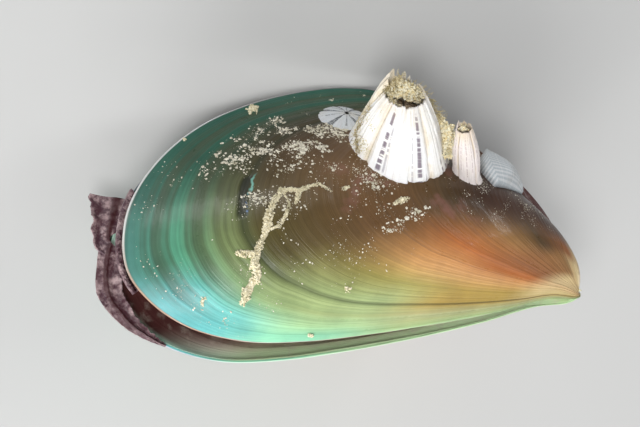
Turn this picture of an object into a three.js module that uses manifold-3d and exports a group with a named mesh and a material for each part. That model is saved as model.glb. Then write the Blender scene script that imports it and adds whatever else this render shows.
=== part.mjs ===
// A mussel shell, lying open by a few degrees on its left valve, with the animals' houses that grew on it.
// Millimetres, +Z up. The shell is drawn in its own frame first: the beak at the origin, the plane where the
// two valves meet at z = 0, the front end towards +X and the hinge side towards +Y. A last turn lays it down.
import * as THREE from "three";
import { mergeVertices } from "three/addons/utils/BufferGeometryUtils.js";
import Module from "manifold-3d";

const wasm = await Module();
wasm.setup();

// ---- driving dimensions ----
const GAP = 0.3; // clear space between neighbouring pieces
const RAD = Math.PI / 180;

// The edge of a valve, from the beak along the hinge, round the back end and home along the belly:
// x, y and how far the edge stands off the meeting plane (the belly edge bows away from it).
const MARGIN = [
  [0.2, 0.8, 0],
  [-9.6, 11.2, 0],
  [-21.6, 20.6, 0],
  [-33.9, 29.2, 0],
  [-40, 29.1, 0],
  [-47.2, 27.1, 0],
  [-57, 22.7, 0],
  [-66.4, 16.2, 0],
  [-73.7, 7.3, 0],
  [-76.8, -0.8, 0],
  [-76.3, -8.6, 0],
  [-72.9, -12.9, 0],
  [-66.9, -16.3, 0.3],
  [-58.5, -17.6, 1],
  [-49, -16.4, 1.4],
  [-38.1, -13.7, 1.6],
  [-27, -10.4, 1.6],
  [-15.3, -6.4, 1.4],
  [-6.3, -2.8, 1],
  [-0.2, -1.4, 0.5],
  [1.1, -0.4, 0],
];
// How a valve grows: each younger edge is the last one shrunk to a share t about the beak, turned towards the
// hinge in its own plane, and swung up about an axis through the beak.
const GROWTH = { axis: 118.1, coil: 0.644, beakCurl: 0.027, turn: 39, turnPower: 1.57, beakLift: 1.15 };
const VALVE = {
  rings: 13, columns: 46, youngest: 0.045, lowest: 0.02,
  wall: 1.15, lip: 0.7, hollowFrom: 0.24,
};
const GAPE = { angle: 9.4, hingeLine: 139.2, apart: 0.9 };
// How the shell comes to lie: rolled back on its hinge side. The shift puts the middle of its foot-print
// at the origin, a little low, so that a worn flat of that depth is what it stands on.
const REST = { turnX: -37.9, turnY: -3.1, shift: [39.93, -4.51, 21.84] };
const WORN = 0.25;

// ---- the growth surface ----
const edge = new THREE.CatmullRomCurve3(MARGIN.map((p) => new THREE.Vector3(...p)), true, "centripetal");
edge.arcLengthDivisions = 1200;

function grown(t, s, bulge = 0) {
  const m = edge.getPointAt(((s % 1) + 1) % 1);
  const turn = -GROWTH.turn * RAD * (1 - t) ** GROWTH.turnPower;
  const x = t * (m.x * Math.cos(turn) - m.y * Math.sin(turn));
  const y = t * (m.x * Math.sin(turn) + m.y * Math.cos(turn));
  const a = GROWTH.axis * RAD;
  const along = x * Math.cos(a) + y * Math.sin(a);
  const off = -x * Math.sin(a) + y * Math.cos(a);
  const swing = -GROWTH.coil * Math.log(t + GROWTH.beakCurl * (1 - t));
  const across = off * Math.cos(swing);
  const z = off * Math.sin(swing) + GROWTH.beakLift * (1 - t) + t * m.z + bulge;
  return new THREE.Vector3(
    along * Math.cos(a) - across * Math.sin(a),
    along * Math.sin(a) + across * Math.cos(a),
    z,
  );
}

// A point of the outer face and the direction straight out of it.
function onValve(t, s) {
  const step = 1e-3;
  const point = grown(t, s);
  const byAge = grown(Math.min(t + step, 1), s).sub(grown(t - step, s));
  const byEdge = grown(t, s + step).sub(grown(t, s - step));
  return { point, out: byAge.cross(byEdge).normalize() };
}

// ---- small mesh tools ----
// A solid from rows of points: each row is a closed ring, the first and last rows are filled to their middle.
function ringSolid(rows) {
  const points = [];
  const faces = [];
  const n = rows[0].length;
  rows.forEach((row) => points.push(...row));
  for (let i = 0; i + 1 < rows.length; i++) {
    for (let j = 0; j < n; j++) {
      const a = i * n + j;
      const b = i * n + ((j + 1) % n);
      faces.push([a, b, b + n], [a, b + n, a + n]);
    }
  }
  const middle = (row) => row.reduce((sum, p) => sum.add(p), new THREE.Vector3()).divideScalar(n);
  const first = points.push(middle(rows[0])) - 1;
  const last = points.push(middle(rows[rows.length - 1])) - 1;
  const base = (rows.length - 1) * n;
  for (let j = 0; j < n; j++) {
    faces.push([first, (j + 1) % n, j]);
    faces.push([last, base + j, base + ((j + 1) % n)]);
  }
  return asManifold(points, faces);
}

function asManifold(points, faces) {
  const vertProperties = new Float32Array(points.flatMap((p) => [p.x, p.y, p.z]));
  let triVerts = new Uint32Array(faces.flat());
  let made = new wasm.Manifold(new wasm.Mesh({ numProp: 3, vertProperties, triVerts }));
  if (made.volume() < 0) {
    triVerts = new Uint32Array(faces.flatMap(([a, b, c]) => [a, c, b]));
    made = new wasm.Manifold(new wasm.Mesh({ numProp: 3, vertProperties, triVerts }));
  }
  return made;
}

function manifoldOf(geometry) {
  const bare = geometry.clone();
  bare.deleteAttribute("normal");
  bare.deleteAttribute("uv");
  const merged = mergeVertices(bare, 1e-4);
  return new wasm.Manifold(
    new wasm.Mesh({
      numProp: 3,
      vertProperties: new Float32Array(merged.attributes.position.array),
      triVerts: new Uint32Array(merged.index.array),
    }),
  );
}

function geometryOf(solid) {
  const mesh = solid.getMesh();
  const geometry = new THREE.BufferGeometry();
  geometry.setAttribute("position", new THREE.BufferAttribute(new Float32Array(mesh.vertProperties), 3));
  geometry.setIndex(new THREE.BufferAttribute(new Uint32Array(mesh.triVerts), 1));
  geometry.computeVertexNormals();
  return geometry;
}

// An eight-sided section for a cord or a tube.
function roundSection(radius) {
  const corner = (_, i) => new THREE.Vector2(Math.cos((i * Math.PI) / 4), Math.sin((i * Math.PI) / 4));
  return new THREE.Shape(Array.from({ length: 8 }, corner).map((p) => p.multiplyScalar(radius)));
}

const biggest = (solid) => solid.decompose().sort((a, b) => b.volume() - a.volume())[0];

const smooth = (x) => {
  const k = Math.min(Math.max(x, 0), 1);
  return k * k * (3 - 2 * k);
};

// ---- the two valves ----
const toLeft = (() => {
  const a = GAPE.hingeLine * RAD;
  const hinge = new THREE.Vector3(Math.cos(a), Math.sin(a), 0);
  const open = new THREE.Quaternion().setFromAxisAngle(hinge, -GAPE.angle * RAD);
  const apart = new THREE.Vector3(0, 0, -GAPE.apart);
  return (p) => new THREE.Vector3(p.x, p.y, -p.z).applyQuaternion(open).add(apart);
})();
const toRight = (p) => p.clone();

const ringsFrom = (t0, count) =>
  Array.from({ length: count }, (_, i) => t0 + (1 - t0) * (i / (count - 1)) ** 0.85);
const columns = Array.from({ length: VALVE.columns }, (_, j) => j / VALVE.columns);

function outerRow(t, thick = 0) {
  return columns.map((s) => {
    const { point, out } = onValve(t, s);
    return point.addScaledVector(out, thick);
  });
}

// The inside face follows the outside a wall below it, and comes to a thin lip at the edge.
function innerRow(t) {
  const middle = new THREE.Vector3(-44, 4, 0);
  return columns.map((s) => {
    const { point, out } = onValve(t, s);
    const depth = VALVE.wall * smooth((1 - t) / 0.09);
    const inward = middle.clone().sub(point).setZ(0).normalize();
    const lip = VALVE.lip * (1 - smooth((1 - t) / 0.16));
    const inner = point.addScaledVector(out, -depth).addScaledVector(inward, lip);
    return inner.setZ(Math.max(inner.z, VALVE.lowest));
  });
}

function valve(place) {
  const outer = ringsFrom(VALVE.youngest, VALVE.rings).map((t) => outerRow(t).map(place));
  const inner = ringsFrom(VALVE.hollowFrom, VALVE.rings - 2).map((t) => innerRow(t).map(place));
  return ringSolid([...outer, ...inner.reverse()]);
}

// The valve filled solid and swollen by the gap: what grows on it is cut to fit by this.
function valveBlock(place, thick) {
  const rows = ringsFrom(VALVE.youngest, VALVE.rings).map((t) => outerRow(t, thick).map(place));
  const lid = outerRow(1, thick).map((p) => place(new THREE.Vector3(p.x, p.y, p.z - thick - 0.05)));
  return ringSolid([...rows, lid]);
}

const rightBlock = valveBlock(toRight, GAP);

// ---- the ligament: a dark elastic cord in the groove behind the beaks ----
const LIGAMENT = { from: 0.1, to: 0.215, radius: 1.05, outward: 1.45, clear: 0.5 };

function ligament() {
  const back = new THREE.Vector3(0.65, 0.76, 0);
  const steps = 9;
  const spine = Array.from({ length: steps }, (_, i) => {
    const s = LIGAMENT.from + ((LIGAMENT.to - LIGAMENT.from) * i) / (steps - 1);
    const p = edge.getPointAt(s).addScaledVector(back, LIGAMENT.outward);
    return p.setZ(-GAPE.apart / 2);
  });
  const cord = new THREE.ExtrudeGeometry(roundSection(LIGAMENT.radius), {
    steps: 10,
    extrudePath: new THREE.CatmullRomCurve3(spine),
  });
  const above = valveBlock(toRight, LIGAMENT.clear);
  const below = valveBlock(toLeft, LIGAMENT.clear);
  return biggest(manifoldOf(cord).subtract(above).subtract(below));
}

// ---- the horny skin that frills out of the gape at the back end ----
const FRILLS = {
  right_frill: { place: toRight, from: 0.495, to: 0.575, reach: [3.7, 1.8], drop: 2.6, thick: 0.8 },
  left_frill: { place: toLeft, from: 0.486, to: 0.61, reach: [5.2, 0.6], drop: 1.2, thick: 0.8 },
};

function frill({ place, from, to, reach, drop, thick }) {
  const steps = 20;
  const rows = Array.from({ length: steps + 1 }, (_, i) => {
    const u = i / steps;
    const m = edge.getPointAt(from + (to - from) * u);
    const outward = edge.getTangentAt(from + (to - from) * u).cross(new THREE.Vector3(0, 0, 1));
    outward.setZ(0).normalize();
    const width = reach[0] + (reach[1] - reach[0]) * smooth(u * 1.1);
    const wave = 0.35 * Math.sin(u * 34);
    const point = (out, z) => place(m.clone().addScaledVector(outward, out).setZ(m.z + z));
    return [
      point(-0.4, -GAP),
      point(0.35 * width, -GAP - 0.35 * drop + wave),
      point(width, -GAP - drop + thick + wave),
      point(width, -GAP - drop + wave),
      point(0.3 * width, -GAP - 0.5 * drop - thick + wave),
      point(-1.1, -GAP - thick),
    ];
  });
  return ringSolid(rows);
}

// ---- barnacles: a ring of six wall plates round a mouth, four lid plates in it and a floor ----
const PLATES = [
  { name: "rostrum", middle: -90, span: 82, tall: 0 },
  { name: "lateral_right", middle: -14, span: 70, tall: 0.12 },
  { name: "carinolateral_right", middle: 43.5, span: 45, tall: 0.4 },
  { name: "carina", middle: 90, span: 48, tall: 0.75 },
  { name: "carinolateral_left", middle: 136.5, span: 45, tall: 1 },
  { name: "lateral_left", middle: 194, span: 70, tall: 0.05 },
];
const LIDS = [
  { name: "scutum_right", from: -84, to: 8 },
  { name: "tergum_right", from: 20, to: 82 },
  { name: "tergum_left", from: 98, to: 160 },
  { name: "scutum_left", from: 172, to: 264 },
];
const BARNACLES = {
  large: {
    seat: [0.569, 0.448], axis: [-0.212, 0.504, 0.78], base: 7.7, mouth: 3.25, height: 8.8, crest: 2.9,
    wall: 1.5, root: 4.5, floor: 0.7, lidHeight: 0.7, swell: 0.35, sides: 5, lids: true,
  },
  narrow: {
    seat: [0.396, 0.512], axis: [-0.42, 0.45, 0.73], base: 2, mouth: 1.2, height: 8.6, crest: 0.8,
    wall: 0.6, root: 3, floor: 0.5, lidHeight: 0.8, swell: 0.45, sides: 3, lids: true,
  },
  young: {
    seat: [0.787, 0.357], axis: [-0.14, 0.58, 0.8], base: 3.5, mouth: 0.8, height: 1, crest: 0.15,
    wall: 0.7, root: 1.8, floor: 0, lidHeight: 0, swell: 0.1, sides: 3, lids: false,
  },
};

function standOn({ seat, axis }) {
  const { point } = onValve(seat[0], seat[1]);
  const up = new THREE.Vector3(...axis).normalize();
  const side = new THREE.Vector3(1, 0, 0.44).cross(up).cross(up).negate().normalize();
  const back = up.clone().cross(side);
  return new THREE.Matrix4().makeBasis(side, back, up).setPosition(point);
}

function wallRadius(b, v) {
  return b.base + (b.mouth - b.base) * v + b.swell * Math.sin(Math.PI * Math.min(Math.max(v, 0), 1));
}

function wallPlate(b, plate, matrix) {
  const half = (plate.span / 2) * RAD;
  const levels = [-b.root / b.height, 0, 0.35, 0.7, 1];
  const rows = levels.map((v) => {
    const outside = wallRadius(b, Math.max(v, -0.12));
    const inside = outside - b.wall * (1 - 0.45 * Math.max(v, 0));
    const row = [];
    for (let i = 0; i <= b.sides; i++) {
      const share = (2 * i) / b.sides - 1;
      const spare = GAP / 2 / inside;
      const angle = plate.middle * RAD + share * (half - spare);
      const peak = b.crest * plate.tall * (1 - 0.55 * Math.abs(share)) * smooth(v);
      row.push({ angle, z: v * b.height + peak });
    }
    const at = (r, { angle, z }) =>
      new THREE.Vector3(r * Math.cos(angle), r * Math.sin(angle), z).applyMatrix4(matrix);
    return [...row.map((q) => at(outside, q)), ...row.reverse().map((q) => at(inside, q))];
  });
  return biggest(ringSolid(rows).subtract(rightBlock));
}

function lidPlate(b, lid, matrix) {
  const steps = 4;
  const topZ = b.lidHeight * b.height;
  const reach = wallRadius(b, b.lidHeight) - b.wall - GAP;
  const row = (drop) => {
    const middle = ((lid.from + lid.to) / 2) * RAD;
    const tip = new THREE.Vector3(0.3 * Math.cos(middle), 0.5 * Math.sin(middle), topZ + 0.8 - drop);
    const arc = Array.from({ length: steps + 1 }, (_, i) => {
      const a = (lid.from + ((lid.to - lid.from) * i) / steps) * RAD;
      return new THREE.Vector3(reach * Math.cos(a), reach * Math.sin(a), topZ - 0.5 - drop);
    });
    return [tip, ...arc].map((p) => p.applyMatrix4(matrix));
  };
  return ringSolid([row(0.5), row(0)]);
}

function floorPlate(b, matrix) {
  const sides = 16;
  const reach = b.base - b.wall - GAP;
  const ring = (z) =>
    Array.from({ length: sides }, (_, i) => {
      const a = (2 * Math.PI * i) / sides;
      return new THREE.Vector3(reach * Math.cos(a), reach * Math.sin(a), z).applyMatrix4(matrix);
    });
  return biggest(ringSolid([ring(-b.root), ring(b.floor)]).subtract(rightBlock));
}

// ---- a small ribbed fan shell beside them, and a worm's crusty tube ----
const FAN = {
  apex: [0.265, 0.474], towards: [0.43, 0.42],
  length: 7.8, spread: 38, height: 2.3, edge: 0.7, root: 4.5,
};

function fanShell() {
  const { point, out } = onValve(...FAN.apex);
  const far = onValve(...FAN.towards).point;
  const up = out.clone().add(onValve(...FAN.towards).out).normalize();
  const along = far.sub(point).projectOnPlane(up).normalize();
  const across = up.clone().cross(along);
  const matrix = new THREE.Matrix4().makeBasis(along, across, up).setPosition(point);
  const ribs = 9;
  const ring = (share, z) => {
    const row = [];
    for (let i = 0; i <= ribs; i++) {
      const a = FAN.spread * RAD * ((2 * i) / ribs - 1);
      const r = 0.8 + FAN.length * share * (1 - 0.12 * ((2 * i) / ribs - 1) ** 2);
      row.push(new THREE.Vector3(r * Math.cos(a), r * Math.sin(a), z));
    }
    row.push(new THREE.Vector3(-0.4, 0, z));
    return row.map((p) => p.applyMatrix4(matrix));
  };
  const rows = [ring(1, -FAN.root), ring(1, FAN.edge), ring(0.7, FAN.height), ring(0.25, FAN.height * 0.8)];
  return biggest(ringSolid(rows).subtract(rightBlock));
}

// The tube's way over the valve, as shares of growth and of the edge.
const WORM = {
  radius: 0.8,
  way: [
    [0.673, 0.528], [0.704, 0.532], [0.735, 0.526], [0.753, 0.545], [0.766, 0.564],
    [0.778, 0.572], [0.803, 0.585], [0.827, 0.605], [0.889, 0.624],
  ],
};

function wormTube() {
  const spine = WORM.way.map(([t, s]) => {
    const { point, out } = onValve(t, s);
    return point.addScaledVector(out, GAP + 0.1);
  });
  const tube = new THREE.ExtrudeGeometry(roundSection(WORM.radius), {
    steps: 22,
    extrudePath: new THREE.CatmullRomCurve3(spine),
  });
  return biggest(manifoldOf(tube).subtract(rightBlock));
}

// ---- finishes ----
const finish = (color, roughness) => new THREE.MeshStandardMaterial({ color, roughness });
const LOOKS = {
  greenShell: finish("#6f8f86", 0.35),
  ligament: finish("#3a2a20", 0.6),
  frill: finish("#7a4c58", 0.5),
  barnacle: finish("#e9e2da", 0.7),
  lid: finish("#9c8268", 0.7),
  fan: finish("#b8bcc0", 0.6),
  crust: finish("#c9bfa6", 0.9),
};

// ---- the shell laid down ----
const shell = new THREE.Group();
const turn = new THREE.Matrix4().makeRotationFromEuler(
  new THREE.Euler(REST.turnX * RAD, REST.turnY * RAD, 0, "ZYX"),
);
const laid = turn.clone().setPosition(REST.shift[0], REST.shift[1], REST.shift[2] - WORN);
shell.applyMatrix4(laid);

function add(name, solid, look) {
  const mesh = new THREE.Mesh(geometryOf(solid), look);
  mesh.name = name;
  shell.add(mesh);
}

// The lowest sliver of the left valve is worn flat where it lies.
function wornFlat(solid) {
  const size = 200;
  const block = new THREE.BoxGeometry(size, size, size).translate(0, 0, -size / 2);
  block.applyMatrix4(laid.clone().invert());
  return solid.subtract(manifoldOf(block));
}

add("right_valve", valve(toRight), LOOKS.greenShell);
add("left_valve", wornFlat(valve(toLeft)), LOOKS.greenShell);
add("hinge_ligament", ligament(), LOOKS.ligament);
for (const [name, shape] of Object.entries(FRILLS)) add(name, frill(shape), LOOKS.frill);

for (const [name, b] of Object.entries(BARNACLES)) {
  const matrix = standOn(b);
  for (const plate of PLATES) {
    add(`${name}_barnacle_${plate.name}`, wallPlate(b, plate, matrix), LOOKS.barnacle);
  }
  if (b.floor) add(`${name}_barnacle_floor`, floorPlate(b, matrix), LOOKS.barnacle);
  if (b.lids) {
    for (const lid of LIDS) add(`${name}_barnacle_${lid.name}`, lidPlate(b, lid, matrix), LOOKS.lid);
  }
}
add("ribbed_fan_shell", fanShell(), LOOKS.fan);
add("worm_tube", wormTube(), LOOKS.crust);

export default shell;
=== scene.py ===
import math

import bmesh
import bpy
import numpy as np
from mathutils import Euler, Matrix, Quaternion, Vector, noise
from mathutils.bvhtree import BVHTree


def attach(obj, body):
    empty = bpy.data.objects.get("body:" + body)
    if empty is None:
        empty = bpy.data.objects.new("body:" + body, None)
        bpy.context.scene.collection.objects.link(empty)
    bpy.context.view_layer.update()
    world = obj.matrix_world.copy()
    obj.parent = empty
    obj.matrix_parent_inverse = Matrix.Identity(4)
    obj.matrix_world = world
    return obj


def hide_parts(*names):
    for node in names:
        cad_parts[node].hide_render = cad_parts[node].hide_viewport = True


# A mussel shell lying a little open on its left valve, with the barnacles, a fan shell and a crust on it.
# The shell is drawn in millimetres in its own frame, beak at the origin and the plane where the valves meet
# at z = 0, then laid down in metres.
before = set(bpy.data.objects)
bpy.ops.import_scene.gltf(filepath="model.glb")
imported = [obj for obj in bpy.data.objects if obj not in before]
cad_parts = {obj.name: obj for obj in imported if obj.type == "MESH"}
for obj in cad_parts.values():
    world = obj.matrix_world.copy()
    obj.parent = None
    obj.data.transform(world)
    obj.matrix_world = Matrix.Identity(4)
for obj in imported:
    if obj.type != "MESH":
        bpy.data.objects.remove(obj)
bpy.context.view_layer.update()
mm = 0.001

# edge of a valve: x, y and how far it stands off the meeting plane, from the beak along the hinge and round
marginPoints = [
    (0.2, 0.8, 0), (-9.6, 11.2, 0), (-21.6, 20.6, 0), (-33.9, 29.2, 0), (-40, 29.1, 0), (-47.2, 27.1, 0),
    (-57, 22.7, 0), (-66.4, 16.2, 0), (-73.7, 7.3, 0), (-76.8, -0.8, 0), (-76.3, -8.6, 0), (-72.9, -12.9, 0),
    (-66.9, -16.3, 0.3), (-58.5, -17.6, 1), (-49, -16.4, 1.4), (-38.1, -13.7, 1.6), (-27, -10.4, 1.6),
    (-15.3, -6.4, 1.4), (-6.3, -2.8, 1), (-0.2, -1.4, 0.5), (1.1, -0.4, 0),
]
growth = dict(axis=118.1, coil=0.644, beakCurl=0.027, turn=39, turnPower=1.57, beakLift=1.15)
valveBuild = dict(outerRows=200, lipRows=4, innerRows=70, columns=300, wall=1.15, lip=0.7, hollowFrom=0.24)
gape = dict(angle=9.4, hingeLine=139.2, apart=0.9)
rest = dict(turnX=-37.9, turnY=-3.1, shift=(39.93, -4.51, 21.59))

layTurn = Euler((math.radians(rest["turnX"]), math.radians(rest["turnY"]), 0), "XYZ")
lay = Matrix.Translation(Vector(rest["shift"]) * mm) @ layTurn.to_matrix().to_4x4() @ Matrix.Scale(mm, 4)


def catmullRom(points, count):
    # closed centripetal spline, then spaced evenly along its length
    pts = [Vector(p) for p in points]
    n = len(pts)
    dense = []
    steps = 60
    for i in range(n):
        p0, p1, p2, p3 = (pts[(i + k - 1) % n] for k in range(4))
        d0, d1, d2 = ((b - a).length ** 0.5 for a, b in ((p0, p1), (p1, p2), (p2, p3)))
        t1 = ((p1 - p0) / d0 - (p2 - p0) / (d0 + d1) + (p2 - p1) / d1) * d1
        t2 = ((p2 - p1) / d1 - (p3 - p1) / (d1 + d2) + (p3 - p2) / d2) * d1
        for j in range(steps):
            w = j / steps
            dense.append(
                p1 + t1 * w + (3 * (p2 - p1) - 2 * t1 - t2) * w**2 + (2 * (p1 - p2) + t1 + t2) * w**3
            )
    dense = np.array(dense + [dense[0]])
    along = np.concatenate([[0], np.cumsum(np.linalg.norm(np.diff(dense, axis=0), axis=1))])
    at = np.linspace(0, along[-1], count, endpoint=False)
    return np.stack([np.interp(at, along, dense[:, k]) for k in range(3)], -1)


margin = catmullRom(marginPoints, 1200)


def marginAt(s):
    x = (s % 1) * len(margin)
    i = int(x)
    return Vector(margin[i % len(margin)]).lerp(Vector(margin[(i + 1) % len(margin)]), x - i)


def grown(t, s):
    m = marginAt(s)
    turn = -math.radians(growth["turn"]) * (1 - t) ** growth["turnPower"]
    axis = Vector((math.cos(math.radians(growth["axis"])), math.sin(math.radians(growth["axis"])), 0))
    swing = -growth["coil"] * math.log(t + growth["beakCurl"] * (1 - t))
    flat = Matrix.Rotation(turn, 3, "Z") @ Vector((m.x, m.y, 0)) * t
    return Matrix.Rotation(swing, 3, axis) @ flat + Vector((0, 0, growth["beakLift"] * (1 - t) + t * m.z))


def onValve(t, s):
    step = 1e-3
    out = (grown(min(t + step, 1), s) - grown(t - step, s)).cross(grown(t, s + step) - grown(t, s - step))
    return grown(t, s), out.normalized()


hingeAxis = Vector((math.cos(math.radians(gape["hingeLine"])), math.sin(math.radians(gape["hingeLine"])), 0))
openTurn = Quaternion(hingeAxis, -math.radians(gape["angle"]))


def toLeft(p):
    return openTurn @ Vector((p.x, p.y, -p.z)) + Vector((0, 0, -gape["apart"]))


def toRight(p):
    return p.copy()


def smooth(x):
    k = min(max(x, 0), 1)
    return k * k * (3 - 2 * k)


def tint(code):
    parts = [int(code[i : i + 2], 16) / 255 for i in (1, 3, 5)]
    return tuple(c / 12.92 if c <= 0.04045 else ((c + 0.055) / 1.055) ** 2.4 for c in parts) + (1,)


# short ways to add nodes, the same for materials and for geometry
class Nodes:
    def __init__(self, tree):
        self.tree = tree

    def put(self, socket, value):
        if isinstance(value, bpy.types.NodeSocket):
            self.tree.links.new(value, socket)
        elif value is not None:
            socket.default_value = value

    def add(self, kind, values=None, **settings):
        node = self.tree.nodes.new(kind)
        for key, value in settings.items():
            setattr(node, key, value)
        for key, value in (values or {}).items():
            self.put(node.inputs[key], value)
        return node

    def math(self, operation, *values, clamp=False):
        node = self.add("ShaderNodeMath", operation=operation, use_clamp=clamp)
        for socket, value in zip(node.inputs, values):
            self.put(socket, value)
        return node.outputs[0]

    def vec(self, operation, *values):
        node = self.add("ShaderNodeVectorMath", operation=operation)
        for socket, value in zip(node.inputs, values):
            self.put(socket, value)
        return node.outputs["Value" if operation in ("DOT_PRODUCT", "LENGTH", "DISTANCE") else "Vector"]

    def scaled(self, vector, factor):
        node = self.add("ShaderNodeVectorMath", {"Scale": factor}, operation="SCALE")
        self.put(node.inputs[0], vector)
        return node.outputs["Vector"]

    def xyz(self, x=0.0, y=0.0, z=0.0):
        return self.add("ShaderNodeCombineXYZ", {"X": x, "Y": y, "Z": z}).outputs[0]

    def split(self, vector):
        return self.add("ShaderNodeSeparateXYZ", {0: vector}).outputs

    def fit(self, value, low, high, toLow=0.0, toHigh=1.0, curve="SMOOTHSTEP"):
        names = {"Value": value, "From Min": low, "From Max": high, "To Min": toLow, "To Max": toHigh}
        return self.add("ShaderNodeMapRange", names, interpolation_type=curve).outputs[0]

    def band(self, value, middle, half, soft):
        # 1 in a band about the middle, falling to 0 over the soft width
        return self.fit(
            self.math("ABSOLUTE", self.math("SUBTRACT", value, middle)), half, half + soft, 1.0, 0.0
        )

    def noise(self, vector=None, scale=5.0, detail=2.0, rough=0.5, dims="3D", w=None):
        node = self.add("ShaderNodeTexNoise", noise_dimensions=dims)
        for key, value in {
            "Vector": vector, "W": w, "Scale": scale, "Detail": detail, "Roughness": rough
        }.items():
            if key in node.inputs and value is not None and node.inputs[key].enabled:
                self.put(node.inputs[key], value)
        return node.outputs[0]

    def mix(self, factor, a, b, blend="MIX"):
        node = self.add("ShaderNodeMix", data_type="RGBA", blend_type=blend)
        for index, value in ((0, factor), (6, a), (7, b)):
            self.put(node.inputs[index], tint(value) if isinstance(value, str) else value)
        return node.outputs[2]

    def ramp(self, value, stops):
        node = self.add("ShaderNodeValToRGB", {0: value})
        elements = node.color_ramp.elements
        for i, (place, colour) in enumerate(stops):
            element = elements[i] if i < 2 else elements.new(place)
            element.position = place
            element.color = tint(colour) if isinstance(colour, str) else (colour, colour, colour, 1)
        return node.outputs[0]


def newMaterial(name):
    material = bpy.data.materials.new(name)
    material.use_nodes = True
    tree = material.node_tree
    return material, Nodes(tree), tree.nodes["Principled BSDF"]


def bumped(n, shader, heights):
    # several bumps in a row: (height field, distance in metres, strength)
    normal = None
    for height, distance, strength in heights:
        node = n.add("ShaderNodeBump", {"Strength": strength, "Distance": distance, "Height": height})
        if normal is not None:
            n.put(node.inputs["Normal"], normal)
        normal = node.outputs[0]
    n.put(shader.inputs["Normal"], normal)


def newTree(name, sockets):
    tree = bpy.data.node_groups.new(name, "GeometryNodeTree")
    tree.interface.new_socket("Geometry", in_out="INPUT", socket_type="NodeSocketGeometry")
    tree.interface.new_socket("Geometry", in_out="OUTPUT", socket_type="NodeSocketGeometry")
    for label, kind in sockets:
        tree.interface.new_socket(label, in_out="INPUT", socket_type="NodeSocket" + kind)
    n = Nodes(tree)
    return tree, n, n.add("NodeGroupInput").outputs


def endTree(n, geometry, material):
    real = n.add("GeometryNodeRealizeInstances", {0: geometry})
    painted = n.add("GeometryNodeSetMaterial", {"Geometry": real.outputs[0], "Material": material})
    n.put(n.add("NodeGroupOutput").inputs[0], painted.outputs[0])


def runTree(source, tree, values, name):
    modifier = source.modifiers.new(tree.name, "NODES")
    modifier.node_group = tree
    for item in tree.interface.items_tree:
        if item.item_type == "SOCKET" and item.in_out == "INPUT" and item.name in values:
            modifier[item.identifier] = values[item.name]
    mesh = bpy.data.meshes.new_from_object(source.evaluated_get(bpy.context.evaluated_depsgraph_get()))
    source.modifiers.remove(modifier)
    mesh.name = name
    return mesh


def newObject(name, mesh):
    obj = bpy.data.objects.new(name, mesh)
    bpy.context.scene.collection.objects.link(obj)
    return obj


def finishPiece(name, mesh, material, slot, *nodes):
    obj = newObject(name, mesh)
    mesh.materials.clear()
    for part in material if isinstance(material, (list, tuple)) else [material]:
        mesh.materials.append(part)
    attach(obj, "root")
    if nodes:
        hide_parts(*nodes)
    return obj


def ringMesh(name, rows, uvRows, caps="strip", layer="wall"):
    # a closed skin over rows of points, each row a closed ring; the ends are closed by pairing the two halves
    # of the ring ("strip") or by a fan to the middle ("fan")
    mesh = bpy.data.meshes.new(name)
    bm = bmesh.new()
    uvLayer = bm.loops.layers.uv.new(layer)
    verts = [[bm.verts.new(p) for p in row] for row in rows]
    width = len(rows[0])

    def face(corners):
        made = bm.faces.new([verts[i][j] for i, j in corners])
        made.smooth = True
        for loop, (i, j) in zip(made.loops, corners):
            loop[uvLayer].uv = uvRows[i][j]

    for i in range(len(rows) - 1):
        for j in range(width):
            k = (j + 1) % width
            face([(i, j), (i, k), (i + 1, k), (i + 1, j)])
    for i in (0, len(rows) - 1):
        if caps == "strip":
            for j in range(width // 2 - 1):
                face([(i, j), (i, j + 1), (i, width - 2 - j), (i, width - 1 - j)])
        else:
            middle = bm.verts.new(sum((v.co for v in verts[i]), Vector()) / width)
            for j in range(width):
                made = bm.faces.new([verts[i][j], verts[i][(j + 1) % width], middle])
                made.smooth = True
                for loop in made.loops:
                    loop[uvLayer].uv = uvRows[i][j]
    bmesh.ops.recalc_face_normals(bm, faces=bm.faces)
    bm.to_mesh(mesh)
    bm.free()
    return mesh


def joined(name, meshes):
    # several meshes in one, with their materials
    bm = bmesh.new()
    materials = []
    for mesh in meshes:
        start = len(bm.faces)
        bm.from_mesh(mesh)
        bm.faces.ensure_lookup_table()
        offset = len(materials)
        materials += list(mesh.materials)
        for face in bm.faces[start:]:
            face.material_index += offset
    result = bpy.data.meshes.new(name)
    bm.to_mesh(result)
    bm.free()
    for material in materials:
        result.materials.append(material)
    return result


print("camera")
cameraPlace = dict(
    position=(-146.276, -108.213, 229.973), right=(0.91580, 0, 0.40162), up=(-0.16601, 0.91057, 0.37855)
)
right, up = Vector(cameraPlace["right"]), Vector(cameraPlace["up"])
shellToRoom = layTurn.to_matrix()
camera = bpy.data.objects.new("camera", bpy.data.cameras.new("camera"))
camera.data.lens = 100
camera.data.sensor_width = 36
camera.data.clip_start = 0.01
axes = [shellToRoom @ v for v in (right, up, right.cross(up))]
camera.matrix_world = Matrix.Translation(
    lay @ Vector(cameraPlace["position"])
) @ Matrix(axes).transposed().to_4x4()
bpy.context.scene.collection.objects.link(camera)
bpy.context.scene.camera = camera


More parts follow.
